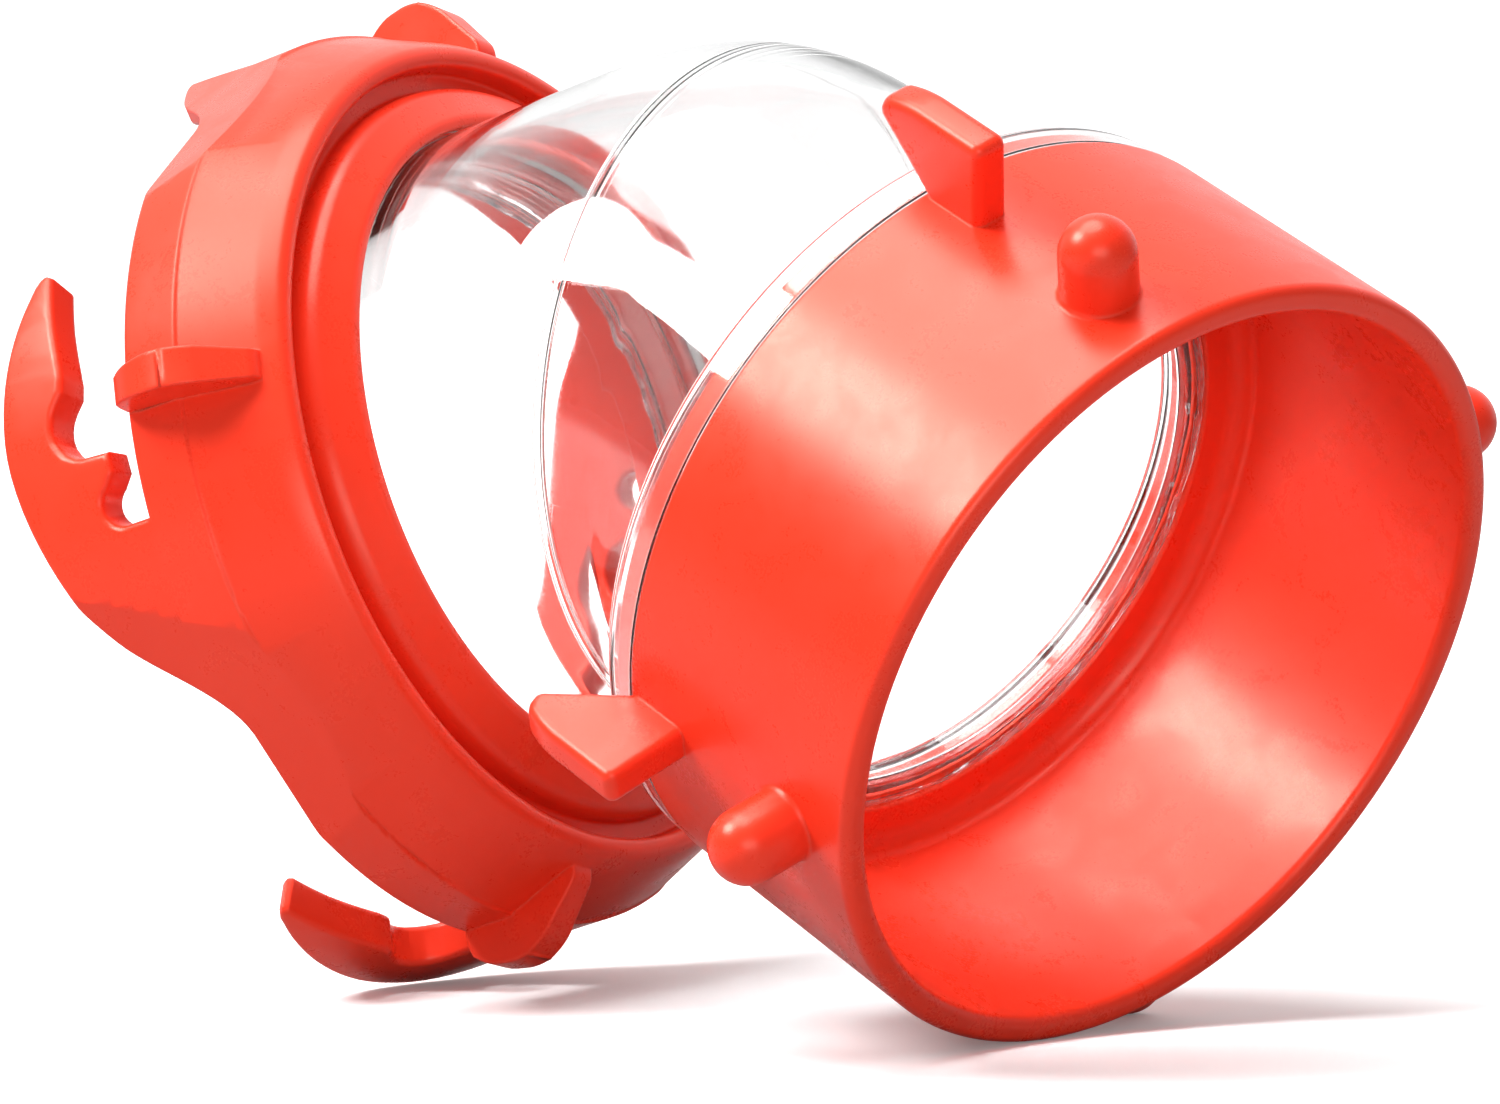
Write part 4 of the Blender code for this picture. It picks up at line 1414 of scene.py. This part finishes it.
    def build(self, plastic: Callable[[str, Matrix], bpy.types.Material],
              rubber: Callable[[str, Matrix], bpy.types.Material],
              silicone: Callable[[str, Matrix], bpy.types.Material]) -> None:
        """Model and dress the ring, its gasket and its seal.

        Args:
            plastic: Makes the ring's finish.
            rubber: Makes the gasket's finish.
            silicone: Makes the seal's finish.
        """
        where = FRAME.leg(Body.HOOKS)
        made = combined("hook_ring_moulding", self.hub(), [
            (Join.UNION, self.skirt()),
            (Join.DIFFERENCE, self.facets()),
            (Join.UNION, self.wings()),
        ])
        Placing(Body.HOOKS, Slot.ORANGE, ("hook_ring",)).settle(
            made, where, plastic("hook_ring_plastic", where)
        )
        gasket = as_object("face_gasket", self.gasket())
        Placing(Body.HOOKS, Slot.RUBBER, ("hook_face_seal",)).settle(
            gasket, where, rubber("gasket_rubber", where), 50.0
        )
        cord = seal_cord(self.hub_bore + self.seal_depth / 2, self.seal_station, self.cord_r)
        Placing(Body.HOOKS, Slot.SILICONE, ("hook_swivel_seal",)).settle(
            as_object("hook_seal_cord", cord), where, silicone("hook_seal_silicone", where), 80.0
        )


# Studio


@dataclass
class Softbox:
    """A soft light that faces the adapter."""

    name: str
    azimuth: float
    elevation: float
    distance: float
    width: float
    height: float
    power: float
    tint: Colour = (1.0, 1.0, 1.0)

    def build(self, aim: Vector) -> None:
        """Add the light.

        Args:
            aim: The point it faces.
        """
        data = bpy.data.lights.new(self.name, "AREA")
        data.shape = "ELLIPSE"
        data.size = self.width
        data.size_y = self.height
        data.energy = self.power
        data.color = self.tint
        lamp = bpy.data.objects.new(self.name, data)
        bpy.context.scene.collection.objects.link(lamp)
        back = toward(self.azimuth, self.elevation)
        lamp.location = aim + back * self.distance
        lamp.rotation_euler = (-back).to_track_quat("-Z", "Y").to_euler()


def toward(azimuth: float, elevation: float) -> Vector:
    """The direction from the adapter towards a place round it.

    Args:
        azimuth: Degrees from the -Y side towards +X.
        elevation: Degrees above the horizon.

    Returns:
        A unit vector.
    """
    a, e = math.radians(azimuth), math.radians(elevation)
    return Vector((math.sin(a) * math.cos(e), -math.cos(a) * math.cos(e), math.sin(e)))


@dataclass
class Studio:
    """The pale floor, the soft lights and the camera."""

    aim: Vector
    dimmest: float = 0.24
    azimuth: float = 38.82
    elevation: float = 4.156
    roll: float = -0.162
    distance: float = 0.944
    lens: float = 192.0
    floor_size: float = 60.0
    near_glow: float = 0.1
    far_glow: float = 0.8

    def floor(self) -> None:
        """A wide pale floor, faintly mottled, with a painted glow that the camera sees: faint near the
        adapter and strong far from it.
        """
        bm = bmesh.new()
        bmesh.ops.create_grid(bm, x_segments=2, y_segments=2, size=self.floor_size)
        made = as_object("studio_floor", bm)
        material = bpy.data.materials.new("floor_paper")
        material.use_nodes = True
        tree = Tree(material.node_tree)
        shader = material.node_tree.nodes["Principled BSDF"]
        place = tree.add("ShaderNodeTexCoord").outputs["Object"]
        tint = Finish.blend(tree, tree.noise(place, 3.0), (0.94, 0.94, 0.94), (0.97, 0.97, 0.97))
        seen = self.seen(tree)
        dim = tree.add("ShaderNodeMix", data_type="RGBA")
        tree.join(seen, dim.inputs["Factor"])
        dim.inputs[6].default_value = (0.32, 0.32, 0.32, 1.0)
        tree.join(tint, dim.inputs[7])
        tree.join(dim.outputs[2], shader.inputs["Base Color"])
        shader.inputs["Emission Color"].default_value = (1.0, 1.0, 1.0, 1.0)
        # painted glow: the floor emits light where the camera looks at it, faint near the adapter and
        # brighter further away
        away = tree.add("ShaderNodeVectorMath", operation="LENGTH")
        tree.join(place, away.inputs[0])
        far = tree.remap(away.outputs["Value"], 0.15, 0.9, self.near_glow, self.far_glow)
        tree.join(tree.maths("MULTIPLY", seen, far), shader.inputs["Emission Strength"])
        shader.inputs["Roughness"].default_value = 0.8
        shader.inputs["Specular IOR Level"].default_value = 0.1
        made.data.materials.append(material)
        made.location.z = -0.05 * MM

    def surroundings(self) -> None:
        """White surroundings, brightest behind the adapter and dim in front of it."""
        world = bpy.data.worlds.new("studio_white")
        bpy.context.scene.world = world
        world.use_nodes = True
        tree = Tree(world.node_tree)
        shade = world.node_tree.nodes["Background"]
        shade.inputs["Color"].default_value = (1.0, 1.0, 1.0, 1.0)
        place = tree.add("ShaderNodeTexCoord").outputs["Generated"]
        behind = tree.add("ShaderNodeVectorMath", operation="DOT_PRODUCT")
        tree.join(place, behind.inputs[0])
        behind.inputs[1].default_value = -toward(self.azimuth, -25.0)
        level = tree.remap(behind.outputs["Value"], 0.15, 0.95, self.dimmest, 1.05)
        white = tree.maths("MULTIPLY", self.seen(tree), 1.1)
        tree.join(tree.maths("MAXIMUM", level, white), shade.inputs["Strength"])

    @staticmethod
    def seen(tree: Tree) -> bpy.types.NodeSocket:
        """A mask of what is looked at directly or through the clear plastic, not lit by."""
        path = tree.add("ShaderNodeLightPath")
        looked = tree.maths(
            "MAXIMUM", path.outputs["Is Camera Ray"], path.outputs["Is Transmission Ray"]
        )
        undimmed = tree.maths("LESS_THAN", path.outputs["Diffuse Depth"], 0.5)
        return tree.maths("MULTIPLY", looked, undimmed)

    def camera(self) -> None:
        """The camera, at a slightly raised three-quarter view."""
        data = bpy.data.cameras.new("camera")
        data.sensor_width = 36.0
        data.lens = self.lens
        data.clip_start = 0.01
        data.clip_end = 500.0
        made = bpy.data.objects.new("camera", data)
        bpy.context.scene.collection.objects.link(made)
        back = toward(self.azimuth, self.elevation)
        made.location = self.aim + back * self.distance
        level = (-back).to_track_quat("-Z", "Y").to_matrix().to_4x4()
        turned = level @ Matrix.Rotation(math.radians(self.roll), 4, "Z")
        made.rotation_euler = turned.to_euler()
        bpy.context.scene.camera = made

    def build(self) -> None:
        """Set up the studio."""
        self.floor()
        self.surroundings()
        self.camera()
        for box in (
            Softbox("key_softbox", -37.0, 43.0, 0.9, 0.44, 0.36, 10.0),
            Softbox("top_softbox", -30.0, 78.0, 1.2, 1.0, 1.0, 20.0),
            Softbox("side_softbox", 45.0, 8.0, 1.2, 0.9, 0.4, 4.5),
        ):
            box.build(self.aim)
        bpy.context.scene.view_settings.view_transform = "Standard"


def orange_plastic(name: str, where: Matrix) -> bpy.types.Material:
    """The orange-red moulded plastic of the two turning rings."""
    return MouldedPlastic(
        name, where, (0.84, 0.036, 0.013), (0.80, 0.030, 0.010), (0.9, 0.09, 0.04)
    ).material()


def gasket_rubber(name: str, where: Matrix) -> bpy.types.Material:
    """The black rubber of the face gasket."""
    return SoftRubber(name, where, (0.012, 0.012, 0.012), (0.03, 0.03, 0.03)).material()


def seal_silicone(name: str, where: Matrix) -> bpy.types.Material:
    """The pale silicone of the swivel seals."""
    return SoftRubber(name, where, (0.62, 0.62, 0.6), (0.7, 0.7, 0.69), 0.4).material()


def main() -> None:
    """Build the adapter and its studio."""
    logging.basicConfig(level=logging.INFO, format="%(message)s")
    ClearElbow().build()
    LugCollar().build(orange_plastic, seal_silicone)
    HookRing().build(orange_plastic, gasket_rubber, seal_silicone)
    Studio(aim=Vector((1.9, -1.4, 54.6)) * MM).build()


if __name__ == "__main__":
    main()
